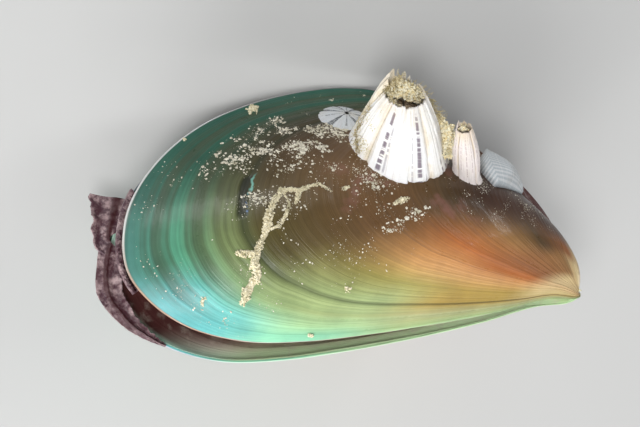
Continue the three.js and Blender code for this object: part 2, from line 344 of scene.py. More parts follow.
print("valves")
valveTree, n, given = newTree("growValve", [
    ("Outer Rows", "Int"), ("Lip Rows", "Int"), ("Inner Rows", "Int"), ("Columns", "Int"), ("Axis", "Vector"),
    ("Coil", "Float"), ("Beak Curl", "Float"), ("Turn", "Float"), ("Turn Power", "Float"),
    ("Beak Lift", "Float"), ("Wall", "Float"), ("Lip", "Float"), ("Hollow From", "Float"),
    ("Hollow End", "Vector"), ("Middle", "Vector"), ("Ridge", "Float"), ("Fine Ridge", "Float"),
    ("Side", "Float"), ("Gape", "Float"), ("Hinge Line", "Vector"), ("Apart", "Float"),
    ("Lay Turn", "Vector"), ("Lay Shift", "Vector"), ("Material", "Material"),
])


def buildValveTree():
    outer = n.math("SUBTRACT", given["Outer Rows"], 1)
    columns = given["Columns"]
    wide = n.math("ADD", columns, 1)
    total = n.math(
        "ADD", n.math("ADD", given["Outer Rows"], given["Lip Rows"]), n.math("ADD", given["Inner Rows"], 1)
    )
    grid = n.add("GeometryNodeMeshGrid", {"Vertices X": total, "Vertices Y": wide})
    index = n.add("GeometryNodeInputIndex").outputs[0]
    row = n.math("FLOOR", n.math("DIVIDE", n.math("ADD", index, 0.5), wide))
    column = n.math("SUBTRACT", index, n.math("MULTIPLY", row, wide))
    share = n.math("DIVIDE", column, columns)
    outerAge = n.math("POWER", n.math("DIVIDE", row, outer, clamp=True), 0.85)
    past = n.math("SUBTRACT", row, outer)
    lipShare = n.math("DIVIDE", past, given["Lip Rows"], clamp=True)
    inside = n.math("DIVIDE", n.math("SUBTRACT", past, given["Lip Rows"]), given["Inner Rows"], clamp=True)
    hollow = n.math("SUBTRACT", 1.0, given["Hollow From"])
    innerAge = n.math("SUBTRACT", 1.0, n.math("MULTIPLY", n.math("POWER", inside, 1.4), hollow))
    age = n.math("MINIMUM", outerAge, innerAge)
    last = n.math("COMPARE", row, n.math("SUBTRACT", total, 1), 0.5)
    edgeRow = n.math("MAXIMUM", n.math("COMPARE", row, 0.0, 0.5), last)
    seam = n.math("MAXIMUM", n.math("COMPARE", column, 0.0, 0.5), n.math("COMPARE", column, columns, 0.5))

    # what later steps need is kept on the points, because welding the seam renumbers them
    mesh = grid.outputs["Mesh"]
    kept = {"keptAge": age, "keptLip": lipShare, "keptInside": inside,
            "keptWeld": n.math("MAXIMUM", edgeRow, seam), "keptShare": share, "keptLast": last}
    for label, value in kept.items():
        store = n.add("GeometryNodeStoreNamedAttribute", {"Geometry": mesh, "Name": label, "Value": value},
                      data_type="FLOAT", domain="POINT")
        mesh = store.outputs[0]
    read = {
        label: n.add("GeometryNodeInputNamedAttribute", {"Name": label}, data_type="FLOAT").outputs[0]
        for label in kept
    }
    age, lipShare, inside = read["keptAge"], read["keptLip"], read["keptInside"]
    isInner = n.math("GREATER_THAN", lipShare, 0.001)
    down = n.math(
        "ADD", age, n.math("MULTIPLY", isInner, n.math("SUBTRACT", n.math("SUBTRACT", 2.0, age), age))
    )
    down = n.math("ADD", down, n.math("MULTIPLY", lipShare, 0.02))
    chart = n.add(
        "GeometryNodeStoreNamedAttribute", {"Geometry": mesh, "Name": "growth"}, data_type="FLOAT2",
        domain="CORNER"
    )
    n.put(next(s for s in chart.inputs if s.name == "Value" and s.enabled), n.xyz(read["keptShare"], down))
    mesh = chart.outputs[0]

    # the growth rule: shrink about the beak, turn in the plane, swing up about the axis
    sample = n.add("GeometryNodeSampleCurve", {"Curves": given["Geometry"]}, mode="FACTOR")
    n.put(sample.inputs["Factor"], read["keptShare"])
    edge = sample.outputs["Position"]
    young = n.math("SUBTRACT", 1.0, age)
    turn = n.math(
        "MULTIPLY", n.math("POWER", young, given["Turn Power"]), n.math("MULTIPLY", given["Turn"], -1.0)
    )
    flat = n.add(
        "ShaderNodeVectorRotate", {"Vector": n.vec("MULTIPLY", edge, (1, 1, 0)), "Angle": turn},
        rotation_type="Z_AXIS"
    )
    log = n.math("LOGARITHM", n.math("ADD", age, n.math("MULTIPLY", young, given["Beak Curl"])), math.e)
    swing = n.math("MULTIPLY", n.math("MULTIPLY", log, given["Coil"]), -1.0)
    lifted = n.add("ShaderNodeVectorRotate",
                   {"Vector": n.scaled(flat.outputs[0], age), "Axis": given["Axis"], "Angle": swing},
                   rotation_type="AXIS_ANGLE")
    rise = n.math(
        "ADD", n.math("MULTIPLY", young, given["Beak Lift"]), n.math("MULTIPLY", age, n.split(edge)[2])
    )
    place = n.vec("ADD", lifted.outputs[0], n.xyz(0.0, 0.0, rise))

    # the lip runs inward from the edge and is a little rounded
    inward = n.vec("NORMALIZE", n.vec("MULTIPLY", n.vec("SUBTRACT", given["Middle"], place), (1, 1, 0)))
    lip = n.math("MULTIPLY", n.math("MULTIPLY", given["Lip"], lipShare), n.fit(young, 0.0, 0.16, 1.0, 0.0))
    roundLip = n.math("MULTIPLY", n.math("SINE", n.math("MULTIPLY", lipShare, math.pi)), -0.16)
    roundLip = n.math("MULTIPLY", roundLip, n.fit(young, 0.0, 0.001, 1.0, 0.0))
    place = n.vec("ADD", n.vec("ADD", place, n.scaled(inward, lip)), n.xyz(0.0, 0.0, roundLip))
    switch = n.add(
        "GeometryNodeSwitch", {"Switch": read["keptLast"], "False": place, "True": given["Hollow End"]},
        input_type="VECTOR"
    )
    put = n.add("GeometryNodeSetPosition", {"Geometry": mesh, "Position": switch.outputs[0]})
    weld = n.add(
        "GeometryNodeMergeByDistance",
        {"Geometry": put.outputs[0], "Selection": read["keptWeld"], "Distance": 0.0005}
    )

    # the inner face is pushed in by the wall, and the outer face gets its growth ridges
    normal = n.add("GeometryNodeInputNormal").outputs[0]
    position = n.add("GeometryNodeInputPosition").outputs[0]
    depth = n.math("MULTIPLY", n.math("MULTIPLY", given["Wall"], n.fit(young, 0.0, 0.09)), isInner)
    depth = n.math("MULTIPLY", depth, n.math("SUBTRACT", 1.0, read["keptLast"]))
    sunk = n.add("GeometryNodeSetPosition", {"Geometry": weld.outputs[0], "Offset": n.scaled(normal, depth)})
    lowest = n.split(position)
    held = n.xyz(lowest[0], lowest[1], n.math("MAXIMUM", lowest[2], 0.02))
    hold = n.add(
        "GeometryNodeSetPosition",
        {"Geometry": sunk.outputs[0], "Selection": n.math("GREATER_THAN", inside, 0.001), "Position": held}
    )
    wander = n.math("MULTIPLY", n.noise(position, scale=0.09, detail=1.0), 0.05)
    when = n.math("ADD", age, wander)
    broad = n.math("SUBTRACT", n.noise(w=when, dims="1D", scale=26.0, detail=3.0, rough=0.6), 0.5)
    fine = n.math("SUBTRACT", n.noise(w=when, dims="1D", scale=150.0, detail=1.0), 0.5)
    check = n.math("MULTIPLY", n.band(age, 0.8, 0.0, 0.012), -0.12)
    relief = n.math(
        "ADD", n.math("MULTIPLY", broad, given["Ridge"]), n.math("MULTIPLY", fine, given["Fine Ridge"])
    )
    relief = n.math("MULTIPLY", n.math("ADD", relief, check), n.math("SUBTRACT", 1.0, isInner))
    relief = n.math("MULTIPLY", relief, n.fit(age, 0.03, 0.2))
    ridged = n.add(
        "GeometryNodeSetPosition", {"Geometry": hold.outputs[0], "Offset": n.scaled(normal, relief)}
    )

    # to its side of the meeting plane, opened about the hinge, laid down in metres, worn flat where it lies
    sided = n.vec("MULTIPLY", position, n.xyz(1.0, 1.0, given["Side"]))
    opened = n.add(
        "ShaderNodeVectorRotate", {"Vector": sided, "Axis": given["Hinge Line"], "Angle": given["Gape"]},
        rotation_type="AXIS_ANGLE"
    )
    apart = n.vec("ADD", opened.outputs[0], n.xyz(0.0, 0.0, n.math("MULTIPLY", given["Apart"], -1.0)))
    moved = n.add("GeometryNodeSetPosition", {"Geometry": ridged.outputs[0], "Position": apart})
    turned = n.add(
        "ShaderNodeVectorRotate", {"Vector": n.scaled(position, mm), "Rotation": given["Lay Turn"]},
        rotation_type="EULER_XYZ"
    )
    laid = n.vec("ADD", turned.outputs[0], given["Lay Shift"])
    low = n.split(laid)
    laid = n.xyz(low[0], low[1], n.math("MAXIMUM", low[2], 0.0))
    down = n.add("GeometryNodeSetPosition", {"Geometry": moved.outputs[0], "Position": laid})
    flip = n.add(
        "GeometryNodeFlipFaces",
        {"Mesh": down.outputs[0], "Selection": n.math("LESS_THAN", given["Side"], 0.0)}
    )
    bare = flip.outputs[0]
    for label in kept:
        bare = n.add("GeometryNodeRemoveAttribute", {"Geometry": bare, "Name": label}).outputs[0]
    soft = n.add("GeometryNodeSetShadeSmooth", {"Geometry": bare})
    endTree(n, soft.outputs[0], given["Material"])


buildValveTree()

palette = dict(
    cream="#dcc998", gold="#a58a42", straw="#9c9350", wheat="#a8a878", leaf="#9cac74", foam="#a4c892",
    aqua="#84c4a0", turquoise="#5fb8bc", teal="#5a9f7e", deepTeal="#1e5646", pine="#1c5442", slate="#4f827a",
    moss="#788a5a", olive="#554e2c", darkOlive="#33321a", umber="#4b381e", brown="#6a4e31", rust="#86542f",
    salmon="#a25e2c", apricot="#c0915a", plum="#3c210e", tan="#8a6438",
)
# colours by age, from the beak to the edge, in four sectors of the valve; the back is darker and the belly
# and front lighter, partly the shell's own colours and partly painted shade at the back and painted light
# towards the belly
sectorsWithPaintedShadeAndLight = dict(
    back=[(0.0, "cream"), (1.0, "deepTeal"), (0.06, "tan"), (0.14, "plum"), (0.36, "plum"), (0.46, "umber"),
          (0.64, "brown"), (0.76, "umber"), (0.84, "darkOlive"), (0.92, "pine")],
    middle=[(0.0, "cream"), (1.0, "slate"), (0.06, "tan"), (0.16, "plum"), (0.36, "plum"), (0.44, "umber"),
            (0.52, "brown"), (0.6, "brown"), (0.78, "olive"), (0.84, "moss"), (0.91, "teal")],
    belly=[(0.0, "cream"), (1.0, "aqua"), (0.07, "cream"), (0.16, "rust"), (0.28, "umber"), (0.38, "tan"),
           (0.5, "salmon"), (0.62, "apricot"), (0.7, "straw"), (0.78, "leaf"), (0.86, "leaf"), (0.91, "foam"),
           (0.96, "aqua")],
    front=[(0.0, "cream"), (1.0, "foam"), (0.1, "cream"), (0.22, "tan"), (0.46, "rust"), (0.54, "salmon"),
           (0.62, "apricot"), (0.7, "gold"), (0.8, "gold"), (0.88, "wheat"), (0.95, "leaf")],
)


def valveMaterial(name, rimTintsAndHighlight):
    material, n, shader = newMaterial(name)
    growthMap = n.split(n.add("ShaderNodeUVMap", uv_map="growth").outputs[0])
    share, age = growthMap[0], growthMap[1]
    spot = n.add("ShaderNodeTexCoord").outputs["Object"]
    wander = n.math("MULTIPLY", n.math("SUBTRACT", n.noise(spot, scale=55.0, detail=2.0), 0.5), 0.03)
    grain = n.noise(spot, scale=420.0, detail=4.0, rough=0.6)
    cloud = n.noise(spot, scale=90.0, detail=4.0, rough=0.6)
    when = n.math("ADD", age, wander)
    looks = {
        key: n.ramp(when, [(place, palette[colour]) for place, colour in stops])
        for key, stops in sectorsWithPaintedShadeAndLight.items()
    }
    around = n.math("ADD", share, n.math("MULTIPLY", n.math("SUBTRACT", cloud, 0.5), 0.035))
    toBelly = n.fit(around, 0.585, 0.69)
    colour = n.mix(n.fit(around, 0.45, 0.575), looks["back"], looks["middle"])
    colour = n.mix(toBelly, colour, looks["belly"])
    colour = n.mix(n.fit(around, 0.71, 0.8), colour, looks["front"])
    # a turquoise stretch of the newest shell, low at the back
    lowBack = n.math(
        "MULTIPLY", n.fit(around, 0.56, 0.6),
        n.math("MULTIPLY", n.fit(around, 0.63, 0.69, 1.0, 0.0), n.fit(age, 0.86, 0.94))
    )
    colour = n.mix(n.math("MULTIPLY", lowBack, 0.75), colour, palette["turquoise"])

    # growth bands: broad brown and teal ones towards the edge, finer ones over the whole valve
    bandNoise = n.noise(w=when, dims="1D", scale=30.0, detail=2.0, rough=0.7)
    bands = n.fit(bandNoise, 0.38, 0.62)
    brownBand = n.math(
        "MULTIPLY", n.math("SUBTRACT", 1.0, bands), n.math("MULTIPLY", n.fit(age, 0.76, 0.88), 0.62)
    )
    brownBand = n.math("MULTIPLY", brownBand, n.fit(around, 0.57, 0.64, 1.0, 0.2))
    colour = n.mix(brownBand, colour, n.mix(toBelly, "#42432b", "#6f9a76"))
    fineNoise = n.noise(w=when, dims="1D", scale=160.0, detail=3.0, rough=0.75)
    fine = n.fit(fineNoise, 0.3, 0.7, 0.88, 1.12, "LINEAR")
    cloudy = n.fit(cloud, 0.3, 0.7, 0.8, 1.2, "LINEAR")
    dapple = n.math("MULTIPLY", fine, cloudy)
    colour = n.mix(1.0, colour, n.xyz(dapple, dapple, dapple), "MULTIPLY")
    blushed = n.math(
        "MULTIPLY", n.band(age, 0.53, 0.06, 0.1), n.fit(n.noise(spot, scale=210.0, detail=3.0), 0.54, 0.68)
    )
    colour = n.mix(n.math("MULTIPLY", blushed, n.fit(around, 0.62, 0.66, 0.55, 0.0)), colour, "#8f6158")

    # a paler patch beside the front edge, and the worn beak
    buff = n.math("MULTIPLY", n.fit(around, 0.86, 0.92), n.band(age, 0.5, 0.2, 0.2))
    colour = n.mix(n.math("MULTIPLY", buff, 0.6), colour, palette["cream"])
    tip = n.math("MULTIPLY", n.band(age, 0.0, 0.05, 0.1), n.fit(cloud, 0.35, 0.6))
    colour = n.mix(n.math("MULTIPLY", tip, 0.8), colour, n.mix(n.fit(grain, 0.4, 0.6), "#7a5a40", "#d8c4ae"))

    # the rest line of one cold season, an old chip healed in blue-green with a painted shadow beside it, and
    # the rim, partly its own colour and partly a painted highlight and sheen along the edge
    restLine = n.math("MULTIPLY", n.band(when, 0.8, 0.002, 0.009), 0.5)
    colour = n.mix(restLine, colour, "#232c1a")
    chipSpan = n.band(n.math("ADD", share, n.math("MULTIPLY", cloud, 0.01)), 0.525, 0.02, 0.008)
    ragged = n.math(
        "ADD", age, n.math("MULTIPLY", n.math("SUBTRACT", n.noise(spot, scale=700.0, detail=3.0), 0.5), 0.02)
    )
    chip = n.math(
        "MULTIPLY", n.band(ragged, 0.792, 0.0008, 0.0028),
        n.math("MULTIPLY", chipSpan, n.fit(grain, 0.42, 0.5))
    )
    # a painted shadow: a near-black band just past the healed chip, where its raised edge would shade the
    # shell; it also dents the bump
    paintedChipShadow = n.math("MULTIPLY", n.band(when, 0.803, 0.004, 0.008), chipSpan)
    colour = n.mix(n.math("MULTIPLY", paintedChipShadow, 0.75), colour, "#171a12")
    colour = n.mix(
        n.math("MULTIPLY", chip, 0.8), colour, n.mix(n.fit(share, 0.515, 0.53), "#86c4b4", "#6f8fc0")
    )
    # rim band: partly the edge's own colour, partly a painted highlight and painted sheen where the edge
    # catches light
    rim = n.band(age, 1.0, 0.002, 0.003)
    rimColourAndHighlight = n.ramp(share, rimTintsAndHighlight)
    colour = n.mix(n.math("MULTIPLY", rim, 0.85), colour, rimColourAndHighlight)

    # inside: a brown band at the lip, then pearl
    inside = n.math("GREATER_THAN", age, 1.012)
    depth = n.math("ADD", n.math("SUBTRACT", age, 1.02), n.math("MULTIPLY", wander, 0.6))
    pearl = n.ramp(
        depth,
        [
            (0.0, "#c4ecd8"), (1.0, "#dfe6e8"), (0.03, "#e8f4dc"), (0.055, "#dccfbf"), (0.085, "#b08f80"),
            (0.13, "#a58374"), (0.22, "#dfe4e2")
        ]
    )
    pearl = n.mix(
        n.math("MULTIPLY", n.fit(share, 0.6, 0.68, 1.0, 0.0), n.fit(depth, 0.0, 0.022)), pearl, "#56302e"
    )
    pearl = n.mix(n.fit(share, 0.64, 0.7), pearl, n.mix(n.fit(depth, 0.03, 0.12), "#d4efbc", "#e0d8b4"))
    fleck = n.fit(grain, 0.5, 0.7, 0.0, 0.3)
    colour = n.mix(inside, colour, n.mix(fleck, pearl, "#d8cdbd"))
    n.put(shader.inputs["Base Color"], colour)
    rough = n.fit(
        n.math("ADD", n.math("MULTIPLY", grain, 0.5), n.math("MULTIPLY", bandNoise, 0.5)), 0.3, 0.7, 0.24,
        0.46, "LINEAR"
    )
    n.put(shader.inputs["Roughness"], rough)
    shader.inputs["Specular IOR Level"].default_value = 0.3
    shader.inputs["Coat Weight"].default_value = 0.1
    shader.inputs["Coat Roughness"].default_value = 0.12
    bumped(
        n, shader,
        [
            (fineNoise, 0.0002, 0.35), (bandNoise, 0.0006, 0.3), (grain, 0.00012, 0.35),
            (n.math("SUBTRACT", chip, paintedChipShadow), 0.0003, 0.6)
        ]
    )
    return material


# rim tints: on the right valve the white and pale pink stretch is a painted highlight on the lit edge and the
# coppers are its own colour; on the left valve the blue-purple stretch is a painted sheen
rightShell = valveMaterial("greenShellRight", [(0.0, "#5d6a60"), (1.0, "#b9b79a"), (0.24, "#8a7d86"),
                                               (0.36, "#d9cfd0"), (0.4, "#ffffff"), (0.53, "#f4f4f0"),
                                               (0.575, "#b08a70"), (0.64, "#a9745c"), (0.69, "#c9b3b0")])
leftShell = valveMaterial(
    "greenShellLeft",
    [
        (0.0, "#5d6a60"), (1.0, "#c9cfae"), (0.4, "#8b8796"), (0.55, "#6d6a9a"), (0.64, "#b0a8b8"),
        (0.7, "#c6dccb")
    ]
)

curve = bpy.data.curves.new("margin", "CURVE")
curve.dimensions = "3D"
spline = curve.splines.new("POLY")
spline.points.add(len(margin) - 1)
for point, co in zip(spline.points, margin):
    point.co = (*co, 1)
spline.use_cyclic_u = True
marginCurve = newObject("margin", curve)


def innerPoint(t, s):
    point, out = onValve(t, s)
    inner = point - out * valveBuild["wall"]
    return Vector((inner.x, inner.y, max(inner.z, 0.02)))


# the middle of the last inner row, where the hollow closes
stops = 46
hollowEnd = sum((innerPoint(valveBuild["hollowFrom"], j / stops) for j in range(stops)), Vector()) / stops
axisAngle = math.radians(growth["axis"])
valveValues = {
    "Outer Rows": valveBuild["outerRows"], "Lip Rows": valveBuild["lipRows"],
    "Inner Rows": valveBuild["innerRows"], "Columns": valveBuild["columns"],
    "Axis": (math.cos(axisAngle), math.sin(axisAngle), 0.0), "Coil": growth["coil"],
    "Beak Curl": growth["beakCurl"], "Turn": math.radians(growth["turn"]), "Turn Power": growth["turnPower"],
    "Beak Lift": growth["beakLift"], "Wall": valveBuild["wall"], "Lip": valveBuild["lip"],
    "Hollow From": valveBuild["hollowFrom"], "Hollow End": tuple(hollowEnd), "Middle": (-44.0, 4.0, 0.0),
    "Ridge": 0.16, "Fine Ridge": 0.05, "Hinge Line": tuple(hingeAxis), "Lay Turn": tuple(layTurn),
    "Lay Shift": tuple(Vector(rest["shift"]) * mm),
}
rightMesh = runTree(
    marginCurve, valveTree, valveValues | {"Side": 1.0, "Gape": 0.0, "Apart": 0.0, "Material": rightShell},
    "rightValve"
)
leftMesh = runTree(marginCurve, valveTree, valveValues | {
    "Side": -1.0, "Gape": -math.radians(gape["angle"]), "Apart": gape["apart"], "Material": leftShell},
    "leftValve")
rightValve = finishPiece("rightValve", rightMesh, rightShell, "right_valve_shell", "right_valve")
finishPiece("leftValve", leftMesh, leftShell, "left_valve_shell", "left_valve")
print("  triangles", len(rightMesh.polygons) * 2, len(leftMesh.polygons) * 2)

valveSkin = BVHTree.FromPolygons([v.co for v in rightMesh.vertices], [p.vertices for p in rightMesh.polygons])


def aboveValve(p):
    # signed height of a laid point over the right valve
    place, normal, _, _ = valveSkin.find_nearest(p)
    return (p - place).dot(normal)


print("ligament")
ligamentBuild = dict(start=0.1, end=0.215, radius=1.0, outward=1.45)


def ligamentMesh():
    back = Vector((0.65, 0.76, 0))
    rows, uvs = [], []
    steps, sides = 90, 20
    for i in range(steps + 1):
        u = i / steps
        s = ligamentBuild["start"] + (ligamentBuild["end"] - ligamentBuild["start"]) * u
        centre = marginAt(s) + back * ligamentBuild["outward"]
        centre.z = -gape["apart"] / 2
        ahead = (marginAt(s + 0.002) - marginAt(s - 0.002)).normalized()
        side = ahead.cross(Vector((0, 0, 1))).normalized()
        taper = math.sin(math.pi * min(max(u, 0.015), 0.985)) ** 0.35
        row, uvRow = [], []
        for j in range(sides):
            a = 2 * math.pi * j / sides
            r = ligamentBuild["radius"] * taper * (
                1 + 0.05 * noise.noise(Vector((u * 40, math.cos(a) * 2, math.sin(a) * 2)))
            )
            row.append(lay @ (centre + side * r * math.cos(a) + Vector((0, 0, 1)) * r * 0.9 * math.sin(a)))
            uvRow.append((u, j / sides))
        rows.append(row)
        uvs.append(uvRow)
    return ringMesh("hingeLigament", rows, uvs, caps="fan", layer="cord")


def ligamentMaterial():
    material, n, shader = newMaterial("ligament")
    spot = n.add("ShaderNodeTexCoord").outputs["Object"]
    chart = n.split(n.add("ShaderNodeUVMap", uv_map="cord").outputs[0])
    fibre = n.noise(
        n.xyz(n.math("MULTIPLY", chart[0], 3.0), n.math("MULTIPLY", chart[1], 40.0)), scale=1.0, detail=4.0
    )
    cloud = n.noise(spot, scale=500.0, detail=3.0)
    n.put(shader.inputs["Base Color"], n.mix(cloud, n.mix(fibre, "#1d130d", "#4a3220"), "#2c2018"))
    n.put(shader.inputs["Roughness"], n.fit(fibre, 0.3, 0.7, 0.35, 0.6))
    bumped(n, shader, [(fibre, 0.0003, 0.6), (cloud, 0.0002, 0.3)])
    return material


finishPiece("hingeLigament", ligamentMesh(), ligamentMaterial(), "ligament", "hinge_ligament")


print("horny frills")
frillBuild = dict(
    # how far it reaches out of the edge and back over the lip, along the edge, in mm
    rightFrill=dict(node="right_frill", place=toRight, along=(0.494, 0.51, 0.53, 0.56, 0.58),
                    reach=(4.2, 3.4, 2.7, 2.7, 1.2), back=(0.7, 0.7, 0.7, 0.7, 0.7), drop=1.5,
                    ahead=(0.3, 0.15, 0.0, 0.0, 0.0)),
    leftFrill=dict(node="left_frill", place=toLeft, along=(0.485, 0.505, 0.526, 0.545, 0.562, 0.593, 0.625),
                   reach=(5.9, 3.6, 2.6, 2.2, 2.0, 0.9, 0.05), back=(1.2, 1.2, 1.2, 1.4, 2.0, 1.4, 0.2),
                   drop=0.9, ahead=(1.0, 0.8, 0.4, 0.1, 0.0, 0.0, 0.0)),
)


def frillMesh(name, f):
    steps, across = 190, 26
    rows, uvs = [], []
    for i in range(steps + 1):
        u = i / steps
        s = f["along"][0] + (f["along"][-1] - f["along"][0]) * u
        m = marginAt(s)
        tangent = (marginAt(s + 0.002) - marginAt(s - 0.002)).normalized()
        outward = tangent.cross(Vector((0, 0, 1)))
        outward = -Vector((outward.x, outward.y, 0)).normalized()
        outward = outward.lerp(Vector((-1, 0, 0)), float(np.interp(s, f["along"], f["ahead"]))).normalized()
        width = float(np.interp(s, f["along"], f["reach"]))
        back = float(np.interp(s, f["along"], f["back"]))
        top, bottom, chart = [], [], []
        for j in range(across + 1):
            w = j / across
            fold = math.sin(u * 34) * 0.22 + 0.3 * noise.noise(Vector((u * 26, w * 3, len(name))))
            hem = 0.3 * noise.fractal(Vector((u * 30, 7, 1)), 0.6, 2.0, 3) * w
            out = -back + (width + back + hem) * w
            sink = -0.3 - f["drop"] * w**1.2 + fold * w
            ridge = 0.7 * math.exp(-((w - 0.75) / 0.2) ** 2) - 0.35 * math.exp(-((w - 0.42) / 0.1) ** 2)
            crumple = 0.26 * noise.fractal(Vector((u * 60, w * 7, 3)), 0.7, 2.0, 3)
            thick = 0.5 * (1 - 0.6 * w)
            top.append(lay @ f["place"](m + outward * out + Vector((0, 0, sink + ridge + crumple))))
            bottom.append(
                lay @ f["place"](m + outward * (out - 0.1) + Vector((0, 0, sink - thick + ridge * 0.6)))
            )
            chart.append((u, w))
        rows.append(top + bottom[::-1])
        uvs.append(chart + chart[::-1])
    return ringMesh(name, rows, uvs, caps="strip", layer="skin")


def frillMaterial():
    material, n, shader = newMaterial("hornyFrill")
    spot = n.add("ShaderNodeTexCoord").outputs["Object"]
    chart = n.split(n.add("ShaderNodeUVMap", uv_map="skin").outputs[0])
    mottle = n.noise(spot, scale=750.0, detail=5.0, rough=0.7)
    cloud = n.noise(spot, scale=170.0, detail=3.0)
    pale = n.math("MULTIPLY", n.fit(mottle, 0.4, 0.7), n.fit(cloud, 0.35, 0.6, 0.35, 0.9))
    base = n.mix(cloud, "#5a3036", "#463440")
    colour = n.mix(n.math("MULTIPLY", pale, 0.9), base, "#dcc2c0")
    slit = n.math("MULTIPLY", n.band(chart[1], 0.4, 0.06, 0.1), 0.85)
    colour = n.mix(slit, colour, "#3a0a10")
    n.put(shader.inputs["Base Color"], colour)
    n.put(shader.inputs["Roughness"], n.fit(mottle, 0.3, 0.7, 0.28, 0.5))
    shader.inputs["Subsurface Weight"].default_value = 0.05
    shader.inputs["Subsurface Radius"].default_value = (0.0006, 0.0003, 0.0003)
    bumped(n, shader, [(mottle, 0.0004, 0.7), (cloud, 0.0006, 0.3)])
    return material


hornySkin = frillMaterial()
for name, f in frillBuild.items():
    finishPiece(name, frillMesh(name, f), hornySkin, "horny_frill", f["node"])


print("barnacles")
plates = dict(
    rostrum=dict(middle=-90, span=82, tall=0.0), lateral_right=dict(middle=-14, span=70, tall=0.12),
    carinolateral_right=dict(middle=43.5, span=45, tall=0.4), carina=dict(middle=90, span=48, tall=0.75),
    carinolateral_left=dict(middle=136.5, span=45, tall=1.0),
    lateral_left=dict(middle=194, span=70, tall=0.05),
)
lids = dict(scutum_right=(-84, 8), tergum_right=(20, 82), tergum_left=(98, 160), scutum_left=(172, 264))
barnacles = dict(
    large=dict(seat=(0.569, 0.448), axis=(-0.212, 0.504, 0.78), base=7.7, mouth=3.25, height=8.8, crest=2.9,
               wall=1.5, root=4.5, lidHeight=0.78, swell=0.35, flare=0.35, ribs=9, ribHeight=0.11,
               suture=0.32, jag=0.5),
    narrow=dict(seat=(0.396, 0.512), axis=(-0.42, 0.45, 0.73), base=2.0, mouth=1.2, height=8.6, crest=0.8,
                wall=0.6, root=3.0, lidHeight=0.8, swell=0.45, flare=0.25, ribs=7, ribHeight=0.07,
                suture=0.14, jag=0.2),
    young=dict(seat=(0.782, 0.356), axis=(-0.14, 0.58, 0.8), base=3.7, mouth=0.45, height=0.95, crest=0.15,
               wall=0.7, root=1.8, lidHeight=0, swell=0.5, flare=0.35, ribs=6, ribHeight=0.07, suture=0.3,
               jag=0.05),
)


def standOn(b):
    point, _ = onValve(*b["seat"])
    top = Vector(b["axis"]).normalized()
    side = -Vector((1, 0, 0.44)).cross(top).cross(top).normalized()
    return Matrix.Translation(point) @ Matrix((side, top.cross(side), top)).transposed().to_4x4()


def wallRadius(b, v):
    return b["base"] + (b["mouth"] - b["base"]) * v + b["swell"] * math.sin(math.pi * min(max(v, 0), 1))


def plateMesh(label, b, plate, stand):
    across, levels = (44, 60) if b["base"] > 5 else (26, 40)
    half = math.radians(plate["span"] / 2)
    seed = sum(map(ord, label))
    outerCols, innerCols, uvOuter, uvInner = [], [], [], []
    for i in range(across + 1):
        share = 2 * i / across - 1
        angle = math.radians(plate["middle"]) + share * (half - 0.04 / b["base"])
        reach = Vector((math.cos(angle), math.sin(angle), 0))
        peak = b["crest"] * plate["tall"] * (1 - 0.6 * abs(share) ** 1.5)
        jag = b["jag"] * noise.fractal(
            Vector((share * 3 + seed, seed, 0)), 0.7, 2.0, 3
        ) * (1 + 1.5 * plate["tall"])

        def wallPoint(v, inset=0.0, lift=0.0):
            z = v * b["height"] + (peak + jag) * smooth(v)
            return lay @ stand @ (reach * (wallRadius(b, max(v, -0.12)) - inset + lift) + Vector((0, 0, z)))

        low, high = -b["root"] / b["height"], 1.0
        for _ in range(22):  # where the wall meets the valve
            v = (low + high) / 2
            if aboveValve(wallPoint(v)) > 0:
                high = v
            else:
                low = v
        foot = low - 0.012
        outer, inner, uo, ui = [], [], [], []
        for k in range(levels + 1):
            v = foot + (1 - foot) * k / levels
            above = (v - foot) * b["height"]
            rib = math.cos(share * b["ribs"] * math.pi) * b["ribHeight"] * (
                0.5 + 0.5 * noise.noise(Vector((share * 6, seed, 2)))
            )
            lines = 0.035 * noise.noise(Vector((v * b["height"] * 3.2, share * 1.5, seed)))
            edge = b["suture"] * smooth((abs(share) - 0.8) / 0.2)
            flare = b["flare"] * max(0, 1 - above / 1.2) ** 2
            thick = b["wall"] * (1 - 0.72 * max(v, 0)) * (0.6 + 0.4 * smooth((1 - v) / 0.15))
            outer.append(wallPoint(v, edge, rib + lines + flare))
            inner.append(wallPoint(v, thick + edge * 0.4, 0))
            uo.append((0.5 + share / 2, max(0, (v - foot) / (1 - foot))))
            ui.append((2.5 + share / 2, max(0, (v - foot) / (1 - foot))))
        outerCols.append(outer)
        innerCols.append(inner)
        uvOuter.append(uo)
        uvInner.append(ui)
    rows = [[c[k] for c in outerCols] + [c[k] for c in reversed(innerCols)] for k in range(levels + 1)]
    uvs = [[c[k] for c in uvOuter] + [c[k] for c in reversed(uvInner)] for k in range(levels + 1)]
    return ringMesh(label, rows, uvs)


